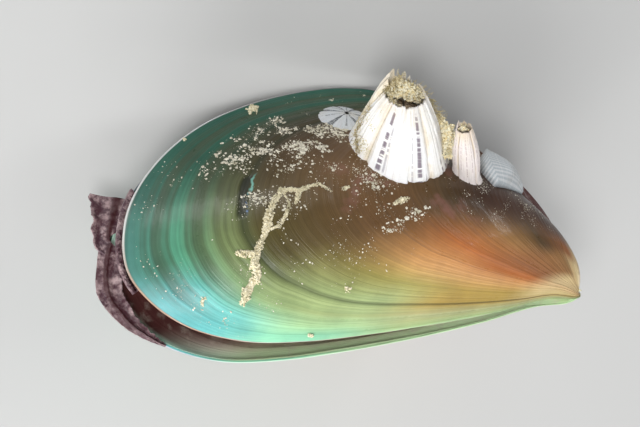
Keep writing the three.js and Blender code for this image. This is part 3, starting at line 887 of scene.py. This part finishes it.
def wallMaterial(name, base, stripes, dirt, stripeColour="#6e5c6c"):
    # stripes: (place across the plate, half width, strength, lowest height, highest height)
    material, n, shader = newMaterial(name)
    spot = n.add("ShaderNodeTexCoord").outputs["Object"]
    chart = n.split(n.add("ShaderNodeUVMap", uv_map="wall").outputs[0])
    across, rise = chart[0], chart[1]
    cloud = n.noise(spot, scale=260.0, detail=4.0, rough=0.6)
    chalk = n.noise(spot, scale=1400.0, detail=3.0)
    lines = n.noise(
        n.xyz(n.math("MULTIPLY", across, 3.0), n.math("MULTIPLY", rise, 34.0)), scale=1.0, detail=3.0
    )
    ribs = n.noise(
        n.xyz(n.math("MULTIPLY", across, 26.0), n.math("MULTIPLY", rise, 1.2)), scale=1.0, detail=2.0
    )
    colour = n.mix(n.fit(cloud, 0.45, 0.8, 0.0, 0.6), base, "#efe6d2")
    colour = n.mix(n.math("MULTIPLY", n.fit(ribs, 0.5, 0.7), 0.35), colour, "#cfc2bb")
    for place, half, strength, low, high in stripes:
        dots = n.fit(
            n.noise(n.xyz(place * 50, n.math("MULTIPLY", rise, 20.0)), scale=1.0, detail=1.0), 0.38, 0.5
        )
        line = n.math(
            "MULTIPLY",
            n.band(
                n.math("ADD", across, n.math("MULTIPLY", n.math("SUBTRACT", lines, 0.5), 0.012)), place,
                half * 0.4, half * 0.8
            ),
            dots
        )
        reach = n.math("MULTIPLY", n.fit(rise, low, low + 0.05), n.fit(rise, high, high - 0.1))
        colour = n.mix(n.math("MULTIPLY", n.math("MULTIPLY", line, reach), strength), colour, stripeColour)
    edge = n.fit(n.math("ABSOLUTE", n.math("SUBTRACT", across, 0.5)), 0.4, 0.5)
    top = n.fit(rise, 0.72, 1.05)
    stain = n.math("MULTIPLY", n.math("MAXIMUM", edge, top), n.fit(cloud, 0.3, 0.6))
    colour = n.mix(n.math("MULTIPLY", stain, dirt), colour, n.mix(chalk, "#c8a266", "#ead9ac"))
    n.put(shader.inputs["Base Color"], colour)
    n.put(shader.inputs["Roughness"], n.fit(chalk, 0.3, 0.7, 0.6, 0.85))
    bumped(n, shader, [(ribs, 0.0005, 0.5), (lines, 0.0003, 0.4), (chalk, 0.00015, 0.5)])
    return material


def lidMaterial():
    material, n, shader = newMaterial("barnacleLid")
    spot = n.add("ShaderNodeTexCoord").outputs["Object"]
    chart = n.split(n.add("ShaderNodeUVMap", uv_map="wall").outputs[0])
    lines = n.noise(n.xyz(0.0, n.math("MULTIPLY", chart[1], 22.0)), scale=1.0, detail=2.0)
    cloud = n.noise(spot, scale=600.0, detail=4.0)
    n.put(
        shader.inputs["Base Color"],
        n.mix(n.fit(lines, 0.35, 0.65), n.mix(cloud, "#6b5040", "#8f7258"), "#c9b79b")
    )
    n.put(shader.inputs["Roughness"], n.fit(cloud, 0.3, 0.7, 0.5, 0.8))
    bumped(n, shader, [(lines, 0.0004, 0.7), (cloud, 0.0003, 0.4)])
    return material


def lidMesh(label, b, span, stand):
    topZ = b["lidHeight"] * b["height"]
    reach = wallRadius(b, b["lidHeight"]) - b["wall"] * 0.75
    middle = math.radians(sum(span) / 2)
    tip = Vector((0.22 * math.cos(middle), 0.35 * math.sin(middle), topZ + 0.9))
    rows, uvs = [], []
    steps, levels = 18, 14
    for k in range(levels + 1):
        w = k / levels
        top, bottom, uvTop, uvBottom = [], [], [], []
        for i in range(steps + 1):
            a = math.radians(span[0] + (span[1] - span[0]) * i / steps)
            rim = Vector((reach * math.cos(a), reach * math.sin(a), topZ - 0.5))
            p = tip.lerp(rim, 0.02 + 0.98 * w)
            p.z += 0.25 * math.sin(math.pi * w) + 0.05 * math.cos(w * 40)
            top.append(lay @ stand @ p)
            bottom.append(lay @ stand @ (p - Vector((0, 0, 0.45))))
            uvTop.append((i / steps, w))
            uvBottom.append((i / steps, w))
        rows.append(top + bottom[::-1])
        uvs.append(uvTop + uvBottom[::-1])
    return ringMesh(label, rows, uvs)


def floorMesh(label, b, stand):
    reach = b["base"] - b["wall"] - 0.3
    # rows from the shell under the barnacle up to its flat floor
    rowCount, around = 9, 48
    rows, uvs = [], []
    for k in range(rowCount):
        w = k / (rowCount - 1)
        row = []
        for i in range(around):
            a = 2 * math.pi * i / around
            r = reach * (1 - 0.1 * w)
            p = stand @ Vector((r * math.cos(a), r * math.sin(a), b["floorTop"]))
            row.append(p)
        low = []
        for p in row:
            start = lay @ p
            direction = -(lay.to_3x3() @ (stand.to_3x3() @ Vector((0, 0, 1)))).normalized()
            hit = valveSkin.ray_cast(start, direction, 0.02)[0]
            ground = (hit if hit is not None else start + direction * 0.001) - direction * 0.00002
            low.append(ground.lerp(start, w))
        rows.append(low)
        uvs.append([(i / around, w) for i in range(around)])
    return ringMesh(label, rows, uvs, caps="fan")


frontStripes = [(0.21, 0.042, 0.85, 0.0, 0.98), (0.29, 0.02, 0.5, 0.0, 0.75), (0.18, 0.012, 0.55, 0.0, 0.4),
                (0.82, 0.042, 0.85, 0.0, 0.97), (0.7, 0.013, 0.4, 0.1, 0.8), (0.92, 0.016, 0.5, 0.0, 0.35)]
sideStripes = [(0.3, 0.032, 0.75, 0.0, 0.45), (0.45, 0.03, 0.75, 0.0, 0.5), (0.72, 0.026, 0.6, 0.0, 0.6)]
narrowStripes = [(0.2, 0.03, 0.5, 0.2, 0.9), (0.5, 0.03, 0.55, 0.1, 0.95), (0.8, 0.03, 0.5, 0.2, 0.9)]
whiteFront = wallMaterial("barnacleWallFront", "#ffffff", frontStripes, 0.3)
whiteSide = wallMaterial("barnacleWallSide", "#fffefb", sideStripes, 0.5)
whiteBack = wallMaterial("barnacleWallBack", "#fdf9ee", [], 0.45)
pinkWall = wallMaterial("narrowBarnacleWall", "#efe6e2", narrowStripes, 0.5, "#a5878c")
greyWall = wallMaterial(
    "youngBarnacleWall", "#d8dcdf",
    [(0.02, 0.08, 0.9, -0.2, 1.2), (0.98, 0.08, 0.9, -0.2, 1.2), (0.5, 0.05, 0.6, 0.3, 1.2)], 0.05, "#3c464d"
)
lidHorn = lidMaterial()

barnaclePieces = {}
for kind, b in barnacles.items():
    stand = standOn(b)
    for label, plate in plates.items():
        look = whiteFront if label == "rostrum" else whiteSide if label.startswith("lateral") else whiteBack
        look = {"narrow": pinkWall, "young": greyWall}.get(kind, look)
        slot = "young_barnacle_wall" if kind == "young" else "barnacle_wall"
        node = f"{kind}_barnacle_{label}"
        barnaclePieces[node] = finishPiece(node + "_wall", plateMesh(node, b, plate, stand), look, slot, node)
    if kind != "young":
        for label, span in lids.items():
            node = f"{kind}_barnacle_{label}"
            finishPiece(node + "_lid", lidMesh(node, b, span, stand), lidHorn, "barnacle_lid", node)
        b["floorTop"] = 0.7 if kind == "large" else 0.5
        node = f"{kind}_barnacle_floor"
        finishPiece(node + "_plate", floorMesh(node, b, stand), whiteBack, "barnacle_wall", node)


print("fan shell")
fanBuild = dict(
    apex=(0.265, 0.474), towards=(0.43, 0.42), length=8.2, spread=42, height=2.6, rise=1.9, ribs=19
)


def fanMesh():
    f = fanBuild
    point, out = onValve(*f["apex"])
    far, farOut = onValve(*f["towards"])
    top = (out + farOut).normalized()
    along = far - point
    along = (along - top * along.dot(top)).normalized()
    stand = Matrix.Translation(point) @ Matrix((along, top.cross(along), top)).transposed().to_4x4()
    across, levels = 88, 60
    rows, uvs = [], []
    down = -(lay.to_3x3() @ (stand.to_3x3() @ Vector((0, 0, 1)))).normalized()
    for k in range(levels + 1):
        w = 0.03 + 0.97 * k / levels
        upper, lower, uvUpper, uvLower = [], [], [], []
        for i in range(across + 1):
            x = 2 * i / across - 1
            a = math.radians(f["spread"]) * x
            r = -0.2 + (0.8 + f["length"] * (1 - 0.12 * x * x) + 0.06 * math.cos(x * f["ribs"] * math.pi)) * w
            rib = 0.5 + 0.5 * math.cos(x * f["ribs"] * math.pi)
            dome = f["height"] * (1 - x**4) * (
                math.sin(math.pi * min(w, 0.98) ** 0.8) * 0.75 + 0.35 * w * (1 - w * 0.4)
            ) + f["rise"] * w * w * (1 - 0.5 * x * x)
            beads = 0.06 * rib * noise.noise(Vector((w * 24, x * 5, 4)))
            height = dome + 0.06 * rib * min(1, w * 2) + beads + 0.2
            flat = Vector((r * math.cos(a), r * math.sin(a), 6))
            hit = valveSkin.ray_cast(lay @ stand @ flat, down, 0.03)[0]
            ground = hit if hit is not None else lay @ stand @ Vector((flat.x, flat.y, -1))
            upper.append(ground - down * height * mm)
            lower.append(ground + down * 0.03 * mm)
            uvUpper.append((0.5 + x / 2, w))
            uvLower.append((0.5 + x / 2, w))
        rows.append(upper + lower[::-1])
        uvs.append(uvUpper + uvLower[::-1])
    return ringMesh("ribbedFanShell", rows, uvs)


def fanMaterial():
    material, n, shader = newMaterial("fanShell")
    spot = n.add("ShaderNodeTexCoord").outputs["Object"]
    chart = n.split(n.add("ShaderNodeUVMap", uv_map="wall").outputs[0])
    wave = n.math(
        "COSINE", n.math("MULTIPLY", n.math("SUBTRACT", chart[0], 0.5), 2 * math.pi * fanBuild["ribs"])
    )
    cloud = n.noise(spot, scale=300.0, detail=4.0)
    rings = n.noise(n.xyz(0.0, n.math("MULTIPLY", chart[1], 30.0)), scale=1.0, detail=2.0)
    colour = n.mix(n.fit(wave, -0.6, 0.6), "#acb4b8", "#c8cbcd")
    colour = n.mix(n.math("MULTIPLY", n.fit(cloud, 0.5, 0.75), 0.4), colour, "#8e8a84")
    n.put(
        shader.inputs["Base Color"],
        n.mix(n.math("MULTIPLY", n.fit(rings, 0.5, 0.65), 0.3), colour, "#e3e2de")
    )
    n.put(shader.inputs["Roughness"], n.fit(cloud, 0.3, 0.7, 0.45, 0.7))
    bumped(n, shader, [(rings, 0.0003, 0.4), (cloud, 0.0003, 0.3)])
    return material


finishPiece("ribbedFanShell", fanMesh(), fanMaterial(), "fan_shell", "ribbed_fan_shell")


print("crusts")
# ways of the crust over the valve as (age, share of the edge, half width in mm)
wormWays = [
    [(0.65, 0.543, 0.16), (0.66, 0.535, 0.22), (0.673, 0.528, 0.26), (0.69, 0.529, 0.3), (0.704, 0.532, 0.36),
     (0.72, 0.528, 0.42), (0.735, 0.526, 0.36), (0.745, 0.535, 0.36), (0.753, 0.545, 0.4), (0.76, 0.555, 0.5),
     (0.766, 0.564, 0.62), (0.778, 0.572, 0.36), (0.803, 0.585, 0.42), (0.815, 0.592, 0.7),
     (0.827, 0.605, 0.62), (0.86, 0.614, 0.62), (0.889, 0.624, 0.55)],
    [(0.704, 0.532, 0.3), (0.708, 0.54, 0.34), (0.712, 0.547, 0.28)],
    [
        (0.735, 0.526, 0.24), (0.722, 0.545, 0.2), (0.729, 0.556, 0.3), (0.745, 0.566, 0.24),
        (0.766, 0.566, 0.3)
    ],
    [(0.803, 0.585, 0.4), (0.815, 0.581, 0.42), (0.826, 0.577, 0.4)],
]
spotWays = [
    [(0.55, 0.578, 0.3), (0.535, 0.575, 0.34), (0.521, 0.573, 0.22)],
    [(0.62, 0.541, 0.32), (0.63, 0.543, 0.26)],
    [(0.955, 0.71, 0.42), (0.96, 0.714, 0.4)],
    [(0.965, 0.372, 0.75), (0.972, 0.368, 0.6), (0.975, 0.362, 0.4)],
    [(0.76, 0.666, 0.3), (0.765, 0.672, 0.35)],
    [(0.922, 0.605, 0.22), (0.93, 0.606, 0.3), (0.938, 0.61, 0.22)],
    [(0.99, 0.432, 0.3), (0.995, 0.431, 0.28)],
]


def wayCurve(name, ways, place=toRight):
    data = bpy.data.curves.new(name, "CURVE")
    data.dimensions = "3D"
    for way in ways:
        line = data.splines.new("POLY")
        line.points.add(len(way) - 1)
        for point, (t, s, half) in zip(line.points, way):
            co, out = onValve(t, s)
            point.co = (*(lay @ place(co)), 1)
            point.radius = half
    return newObject(name, data)


crustTree, n, given = newTree("crustAlong", [
    ("Spacing", "Float"), ("Copies", "Int"), ("Spread", "Float"), ("Grain", "Float"), ("Voxel", "Float"),
    ("Roughness", "Float"), ("Seed", "Int"), ("Material", "Material"),
])


def buildCrustTree():
    points = n.add(
        "GeometryNodeCurveToPoints", {"Curve": given["Geometry"], "Length": given["Spacing"]}, mode="LENGTH"
    ).outputs[0]
    many = n.add(
        "GeometryNodeDuplicateElements", {"Geometry": points, "Amount": given["Copies"]}, domain="POINT"
    ).outputs[0]
    half = n.math("MULTIPLY", n.add("GeometryNodeInputRadius").outputs[0], mm)
    drift = n.add("FunctionNodeRandomValue", {"Seed": given["Seed"]}, data_type="FLOAT_VECTOR")
    drift.inputs[0].default_value = (-1, -1, -1)
    drift.inputs[1].default_value = (1, 1, 1)
    patchy = n.fit(
        n.noise(n.add("GeometryNodeInputPosition").outputs[0], scale=900.0, detail=2.0), 0.3, 0.7, 0.5, 1.4
    )
    reach = n.math("MULTIPLY", n.math("MULTIPLY", half, given["Spread"]), patchy)
    moved = n.add(
        "GeometryNodeSetPosition", {"Geometry": many, "Offset": n.scaled(drift.outputs[0], reach)}
    ).outputs[0]
    size = n.add("FunctionNodeRandomValue", {"Seed": n.math("ADD", given["Seed"], 7)}, data_type="FLOAT")
    size.inputs[2].default_value = 0.35
    size.inputs[3].default_value = 1.0
    radius = n.math("MULTIPLY", n.math("MULTIPLY", half, size.outputs[1]), given["Grain"])
    cloud = n.add(
        "GeometryNodePointsToVolume", {"Points": moved, "Voxel Size": given["Voxel"], "Radius": radius},
        resolution_mode="VOXEL_SIZE"
    )
    skin = n.add(
        "GeometryNodeVolumeToMesh", {"Volume": cloud.outputs[0], "Threshold": 0.1}, resolution_mode="GRID"
    ).outputs[0]
    position = n.add("GeometryNodeInputPosition").outputs[0]
    normal = n.add("GeometryNodeInputNormal").outputs[0]
    rough = n.math(
        "MULTIPLY", n.math("SUBTRACT", n.noise(position, scale=3200.0, detail=3.0), 0.5), given["Roughness"]
    )
    skin = n.add("GeometryNodeSetPosition", {"Geometry": skin, "Offset": n.scaled(normal, rough)}).outputs[0]
    endTree(n, n.add("GeometryNodeSetShadeSmooth", {"Geometry": skin}).outputs[0], given["Material"])


buildCrustTree()


def crustMaterial(name, pale, dark, shade="#8f8a5e"):
    material, n, shader = newMaterial(name)
    spot = n.add("ShaderNodeTexCoord").outputs["Object"]
    grain = n.noise(spot, scale=2200.0, detail=4.0, rough=0.7)
    cloud = n.noise(spot, scale=500.0, detail=3.0)
    colour = n.mix(n.fit(grain, 0.35, 0.65), dark, pale)
    n.put(shader.inputs["Base Color"], n.mix(n.math("MULTIPLY", n.fit(cloud, 0.5, 0.7), 0.4), colour, shade))
    n.put(shader.inputs["Roughness"], n.fit(grain, 0.3, 0.7, 0.75, 0.95))
    bumped(n, shader, [(grain, 0.0003, 0.6)])
    return material


wormCrust = crustMaterial("wormCrust", "#f4ecd0", "#cfc4a0")
wormCurve = wayCurve("wormWay", wormWays)
spotCurve = wayCurve("spotWay", spotWays)
crustValues = {
    "Spacing": 0.00009, "Copies": 16, "Spread": 0.95, "Grain": 0.36, "Voxel": 0.00007, "Roughness": 0.0002,
    "Seed": 5, "Material": wormCrust
}
wormMesh = runTree(wormCurve, crustTree, crustValues, "wormTube")
finishPiece("wormTube", wormMesh, wormCrust, "crust", "worm_tube")
spotMesh = runTree(spotCurve, crustTree, crustValues | {"Seed": 11}, "crustSpots")
finishPiece("crustSpots", spotMesh, wormCrust, "crust")
print("  triangles", len(wormMesh.polygons) * 2, len(spotMesh.polygons) * 2)


print("grains")
grainTree, n, given = newTree("scatterGrains", [
    ("Density", "Float"), ("Age Low", "Float"), ("Age High", "Float"), ("Edge Low", "Float"),
    ("Edge High", "Float"), ("Soft", "Float"), ("Clump Scale", "Float"), ("Clump Cut", "Float"),
    ("Size Low", "Float"), ("Size High", "Float"), ("Flatness", "Float"), ("Seed", "Int"),
    ("Chart", "String"), ("Material", "Material"),
])


def buildGrainTree():
    chart = n.split(
        n.add(
            "GeometryNodeInputNamedAttribute", {"Name": given["Chart"]}, data_type="FLOAT_VECTOR"
        ).outputs[0]
    )
    soft = given["Soft"]

    def box(value, low, high):
        rise = n.fit(value, n.math("SUBTRACT", low, soft), n.math("ADD", low, soft))
        fall = n.fit(value, n.math("SUBTRACT", high, soft), n.math("ADD", high, soft), 1.0, 0.0)
        return n.math("MULTIPLY", rise, fall)

    zone = n.math(
        "MULTIPLY", box(chart[1], given["Age Low"], given["Age High"]),
        box(chart[0], given["Edge Low"], given["Edge High"])
    )
    position = n.add("GeometryNodeInputPosition").outputs[0]
    clump = n.fit(
        n.noise(position, scale=given["Clump Scale"], detail=3.0), given["Clump Cut"],
        n.math("ADD", given["Clump Cut"], 0.12)
    )
    density = n.math("MULTIPLY", n.math("MULTIPLY", zone, clump), given["Density"])
    spread = n.add(
        "GeometryNodeDistributePointsOnFaces",
        {"Mesh": given["Geometry"], "Density": density, "Seed": given["Seed"]}
    )
    chip = n.add("GeometryNodeMeshIcoSphere", {"Radius": 1.0, "Subdivisions": 1}).outputs[0]
    size = n.add("FunctionNodeRandomValue", {"Seed": given["Seed"]}, data_type="FLOAT")
    sizeRange = n.math("SUBTRACT", given["Size High"], given["Size Low"])
    grainSize = n.math(
        "ADD", given["Size Low"], n.math("MULTIPLY", n.math("POWER", size.outputs[1], 4.0), sizeRange)
    )
    shape = n.add(
        "FunctionNodeRandomValue", {"Seed": n.math("ADD", given["Seed"], 3)}, data_type="FLOAT_VECTOR"
    )
    shape.inputs[0].default_value = (0.4, 0.5, 0.6)
    shape.inputs[1].default_value = (1.5, 1.2, 1.2)
    stretch = n.vec("MULTIPLY", shape.outputs[0], n.xyz(1.0, 1.0, given["Flatness"]))
    spin = n.add(
        "FunctionNodeRandomValue", {"Seed": n.math("ADD", given["Seed"], 5)}, data_type="FLOAT_VECTOR"
    )
    spin.inputs[0].default_value = (-0.3, -0.3, -3.1)
    spin.inputs[1].default_value = (0.3, 0.3, 3.1)
    copies = n.add("GeometryNodeInstanceOnPoints", {"Points": spread.outputs["Points"], "Instance": chip,
                                                    "Rotation": spread.outputs["Rotation"],
                                                    "Scale": n.scaled(stretch, grainSize)})
    turned = n.add(
        "GeometryNodeRotateInstances", {"Instances": copies.outputs[0], "Rotation": spin.outputs[0]}
    )
    real = n.add("GeometryNodeRealizeInstances", {0: turned.outputs[0]}).outputs[0]
    ragged = n.scaled(
        n.vec(
            "SUBTRACT", n.add("ShaderNodeTexNoise", {"Vector": position, "Scale": 5000.0}).outputs["Color"],
            (0.5, 0.5, 0.5)
        ),
        0.00018
    )
    worn = n.add("GeometryNodeSetPosition", {"Geometry": real, "Offset": ragged}).outputs[0]
    endTree(n, worn, given["Material"])


buildGrainTree()
paleGrain = crustMaterial("paleGrain", "#f4efdf", "#b8b09a")
grainZones = [
    dict(
        Density=2.6e7, low=0.68, high=0.9, start=0.36, end=0.475, soft=0.02, scale=330.0, cut=0.45,
        small=0.05, big=0.34, seed=1
    ),
    dict(
        Density=1.6e7, low=0.55, high=0.8, start=0.42, end=0.55, soft=0.02, scale=260.0, cut=0.51, small=0.04,
        big=0.3, seed=2
    ),
    dict(
        Density=3.5e6, low=0.5, high=0.97, start=0.4, end=0.66, soft=0.03, scale=200.0, cut=0.48, small=0.04,
        big=0.2, seed=3
    ),
    dict(
        Density=3.5e7, low=0.2, high=0.42, start=0.5, end=0.63, soft=0.03, scale=400.0, cut=0.5, small=0.02,
        big=0.1, seed=4
    ),
    dict(
        Density=1.8e7, low=0.48, high=0.62, start=0.55, end=0.62, soft=0.02, scale=260.0, cut=0.55,
        small=0.04, big=0.36, seed=6
    ),
    dict(
        Density=1.2e7, low=0.88, high=0.97, start=0.24, end=0.34, soft=0.02, scale=300.0, cut=0.54,
        small=0.04, big=0.3, seed=8
    ),
]


def scatter(source, zones, material, name, chart="growth"):
    meshes = []
    for z in zones:
        values = {"Density": z["Density"], "Age Low": z["low"], "Age High": z["high"], "Edge Low": z["start"],
                  "Edge High": z["end"], "Soft": z["soft"], "Clump Scale": z["scale"], "Clump Cut": z["cut"],
                  "Size Low": z["small"] * mm, "Size High": z["big"] * mm, "Flatness": z.get("flat", 0.55),
                  "Seed": z["seed"], "Chart": chart, "Material": material}
        meshes.append(runTree(source, grainTree, values, name))
    print("  ", name, [len(m.polygons) for m in meshes])
    return joined(name, meshes)


finishPiece("valveGrains", scatter(rightValve, grainZones, paleGrain, "valveGrains"), paleGrain, "crust")


def onWall(kind, angle, v, lift=0.0):
    # a laid point on a barnacle's wall, at an angle round it and a share of its height
    b = barnacles[kind]
    a = math.radians(angle)
    r = wallRadius(b, v) + lift
    return lay @ standOn(b) @ Vector((r * math.cos(a), r * math.sin(a), v * b["height"]))


def wallCurve(name, ways):
    # ways of (kind, angle, share of height, lift in mm, half width in mm)
    data = bpy.data.curves.new(name, "CURVE")
    data.dimensions = "3D"
    for way in ways:
        line = data.splines.new("POLY")
        line.points.add(len(way) - 1)
        for point, (kind, angle, v, lift, half) in zip(line.points, way):
            point.co = (*onWall(kind, angle, v, lift), 1)
            point.radius = half
    return newObject(name, data)


print("dirt and threads")
dirtWays = [
    # the mound between the large and the narrow barnacle
    [
        ("large", 12, 0.62, 0.5, 0.5), ("large", 8, 0.5, 0.9, 0.9), ("large", 2, 0.36, 1.0, 1.1),
        ("large", -6, 0.22, 0.9, 1.2), ("large", -16, 0.08, 0.7, 0.9)
    ],
    [("large", 22, 0.5, 0.5, 0.7), ("large", 12, 0.3, 1.2, 1.3), ("large", 2, 0.12, 1.2, 1.1)],
    # along the crest and the mouth
    [
        ("large", 172, 0.92, -0.1, 0.35), ("large", 158, 1.05, -0.3, 0.55), ("large", 142, 1.22, -0.4, 0.6),
        ("large", 130, 1.3, -0.3, 0.35)
    ],
    [("large", 128, 1.02, -0.6, 0.7), ("large", 108, 1.12, -0.6, 0.7), ("large", 92, 1.17, -0.5, 0.5)],
    [
        ("large", 100, 1.0, -0.8, 0.8), ("large", 75, 1.02, -0.6, 0.7), ("large", 50, 1.03, -0.3, 0.55),
        ("large", 25, 1.0, -0.1, 0.4)
    ],
    # a mound behind the lids
    [("large", 165, 0.98, -1.0, 0.7), ("large", 130, 1.04, -1.7, 1.1), ("large", 90, 1.06, -1.5, 1.2),
     ("large", 50, 1.0, -1.4, 1.0), ("large", 15, 0.97, -1.0, 0.7)],
    [("large", 190, 0.9, -1.6, 0.7), ("large", 240, 0.86, -2.4, 0.6)],
    [("large", 138, 1.18, -0.7, 0.7), ("large", 140, 1.28, -0.5, 0.5)],
    [("large", 52, 0.9, 0.1, 0.4), ("large", 35, 0.82, 0.1, 0.4), ("large", 22, 0.72, 0.1, 0.4)],
    # in the groove left of the front plate
    [("large", 208, 0.98, -0.1, 0.3), ("large", 212, 0.85, -0.1, 0.28), ("large", 218, 0.7, -0.15, 0.22)],
    [("narrow", 40, 0.96, -1.0, 0.6), ("narrow", 100, 1.0, -1.1, 0.7), ("narrow", 180, 0.98, -0.9, 0.6)],
    [
        ("narrow", 60, 0.98, -0.2, 0.4), ("narrow", 110, 1.0, -0.3, 0.45), ("narrow", 170, 0.95, -0.1, 0.4),
        ("narrow", 190, 0.7, 0.1, 0.4)
    ],
]
dirt = crustMaterial("creamDirt", "#fffbe6", "#ecd9a4")
dirtCurve = wallCurve("dirtWay", dirtWays)
dirtMesh = runTree(dirtCurve, crustTree, crustValues | {"Copies": 26, "Spacing": 0.00012, "Spread": 0.8,
                                                        "Grain": 0.2, "Voxel": 0.0001, "Roughness": 0.0006,
                                                        "Seed": 21, "Material": dirt}, "barnacleDirt")
finishPiece("barnacleDirt", dirtMesh, dirt, "crust")

hairTree, n, given = newTree("growThreads", [
    ("Spacing", "Float"), ("Length Low", "Float"), ("Length High", "Float"), ("Thickness", "Float"),
    ("Bend", "Float"), ("Spread", "Float"), ("Seed", "Int"), ("Material", "Material"),
])


def buildHairTree():
    points = n.add(
        "GeometryNodeCurveToPoints", {"Curve": given["Geometry"], "Length": given["Spacing"]}, mode="LENGTH"
    ).outputs[0]
    drift = n.add("FunctionNodeRandomValue", {"Seed": given["Seed"]}, data_type="FLOAT_VECTOR")
    drift.inputs[0].default_value = (-1, -1, -1)
    drift.inputs[1].default_value = (1, 1, 1)
    moved = n.add(
        "GeometryNodeSetPosition", {"Geometry": points, "Offset": n.scaled(drift.outputs[0], given["Spread"])}
    ).outputs[0]
    line = n.add("GeometryNodeCurvePrimitiveLine").outputs[0]
    line = n.add("GeometryNodeResampleCurve", {"Curve": line, "Count": 7}).outputs[0]
    turn = n.add(
        "FunctionNodeRandomValue", {"Seed": n.math("ADD", given["Seed"], 2)}, data_type="FLOAT_VECTOR"
    )
    turn.inputs[0].default_value = (-1.1, -1.1, 0)
    turn.inputs[1].default_value = (1.1, 1.1, 6.28)
    long = n.add("FunctionNodeRandomValue", {"Seed": n.math("ADD", given["Seed"], 4)}, data_type="FLOAT")
    n.put(long.inputs[2], given["Length Low"])
    n.put(long.inputs[3], given["Length High"])
    copies = n.add(
        "GeometryNodeInstanceOnPoints",
        {"Points": moved, "Instance": line, "Rotation": turn.outputs[0], "Scale": long.outputs[1]}
    ).outputs[0]
    real = n.add("GeometryNodeRealizeInstances", {0: copies}).outputs[0]
    share = n.add("GeometryNodeSplineParameter").outputs[0]
    position = n.add("GeometryNodeInputPosition").outputs[0]
    wave = n.vec(
        "SUBTRACT",
        n.add("ShaderNodeTexNoise", {"Vector": position, "Scale": 1500.0, "Detail": 1.0}).outputs["Color"],
        (0.5, 0.5, 0.5)
    )
    bent = n.add(
        "GeometryNodeSetPosition",
        {"Geometry": real, "Offset": n.scaled(wave, n.math("MULTIPLY", share, given["Bend"]))}
    ).outputs[0]
    ring = n.add(
        "GeometryNodeCurvePrimitiveCircle", {"Resolution": 4, "Radius": given["Thickness"]}, mode="RADIUS"
    ).outputs[0]
    skin = n.add(
        "GeometryNodeCurveToMesh", {"Curve": bent, "Profile Curve": ring, "Fill Caps": True}
    ).outputs[0]
    endTree(n, skin, given["Material"])


buildHairTree()
threadHorn = crustMaterial("threads", "#e6d8ac", "#a08c5c")
threadWays = [
    [("large", 165, 1.05, 0.0, 1), ("large", 150, 1.25, 0.0, 1), ("large", 135, 1.36, 0.0, 1)],
    [
        ("large", 75, 1.1, 0.0, 1), ("large", 45, 1.06, 0.1, 1), ("large", 20, 0.85, 0.2, 1),
        ("large", 8, 0.6, 0.9, 1)
    ],
    [("large", 215, 0.1, 0.2, 1), ("large", 190, 0.3, 0.1, 1), ("large", 172, 0.7, 0.1, 1)],
]
threadCurve = wallCurve("threadWay", threadWays)
threadMesh = runTree(threadCurve, hairTree, {"Spacing": 0.00004, "Length Low": 0.0005, "Length High": 0.0016,
                                             "Thickness": 0.000032, "Bend": 0.0012, "Spread": 0.0003,
                                             "Seed": 3, "Material": threadHorn}, "barnacleThreads")
finishPiece("barnacleThreads", threadMesh, threadHorn, "crust")
print("  triangles", len(dirtMesh.polygons) * 2, len(threadMesh.polygons) * 2)

barnacleZones = [
    dict(
        Density=6e7, low=-0.1, high=0.75, start=-0.1, end=1.1, soft=0.05, scale=500.0, cut=0.54, small=0.02,
        big=0.13, seed=31, flat=0.8
    ),
]
for label in ("lateral_left", "carinolateral_left", "carinolateral_right", "carina"):
    meshName = f"largeGrains_{label}"
    finishPiece(
        meshName, scatter(barnaclePieces[f"large_barnacle_{label}"], barnacleZones, dirt, meshName, "wall"),
        dirt, "crust"
    )


print("floor and lights")
floorMaterial, n, shader = newMaterial("studioFloor")
shader.inputs["Base Color"].default_value = (0.5, 0.5, 0.49, 1)
shader.inputs["Roughness"].default_value = 0.8
mesh = bpy.data.meshes.new("floor")
mesh.from_pydata([(-3, -3, 0), (3, -3, 0), (3, 3, 0), (-3, 3, 0)], [], [(0, 1, 2, 3)])
mesh.materials.append(floorMaterial)
floor = newObject("floor", mesh)

lights = [
    dict(name="keySoftbox", place=(-0.08, -0.62, 0.34), size=(0.5, 0.4), power=3.3),
    dict(name="topSoftbox", place=(-0.35, -0.25, 0.6), size=(0.3, 0.3), power=0.6),
    dict(name="rightSoftbox", place=(0.5, -0.35, 0.4), size=(0.3, 0.3), power=0.8),
    dict(name="lowSoftbox", place=(-0.5, -0.35, 0.12), size=(0.3, 0.15), power=1.4),
    dict(name="overheadFill", place=(-0.25, -0.02, 0.5), size=(0.2, 0.2), power=1.6),
    dict(name="gapeStrip", place=(-0.2, -0.58, 0.03), size=(0.06, 0.5), power=2.0),
    dict(name="sheenStrip", place=(0.5, 0.33, 0.36), size=(0.6, 0.03), power=1.3, along=(0.24, -0.95, 0.44)),
    dict(name="rimStrip", place=(-0.3, 0.6, 0.12), size=(0.3, 0.1), power=1.0),
]
for item in lights:
    data = bpy.data.lights.new(item["name"], "AREA")
    data.energy = item["power"]
    data.shape = "RECTANGLE"
    data.size, data.size_y = item["size"]
    lamp = bpy.data.objects.new(item["name"], data)
    back = Vector(item["place"]).normalized()
    side = Vector(item["along"]) if "along" in item else Vector((0, 0, 1)).cross(back)
    side = (side - back * side.dot(back)).normalized()
    lamp.matrix_world = Matrix.Translation(item["place"]) @ Matrix(
        (side, back.cross(side), back)
    ).transposed().to_4x4()
    bpy.context.scene.collection.objects.link(lamp)
world = bpy.data.worlds.new("studio")
world.use_nodes = True
world.node_tree.nodes["Background"].inputs[0].default_value = (0.9, 0.93, 1, 1)
world.node_tree.nodes["Background"].inputs[1].default_value = 0.2
bpy.context.scene.world = world
bpy.context.scene.view_settings.view_transform = "Standard"

for helper in (marginCurve, wormCurve, spotCurve, dirtCurve, threadCurve):
    bpy.data.objects.remove(helper)

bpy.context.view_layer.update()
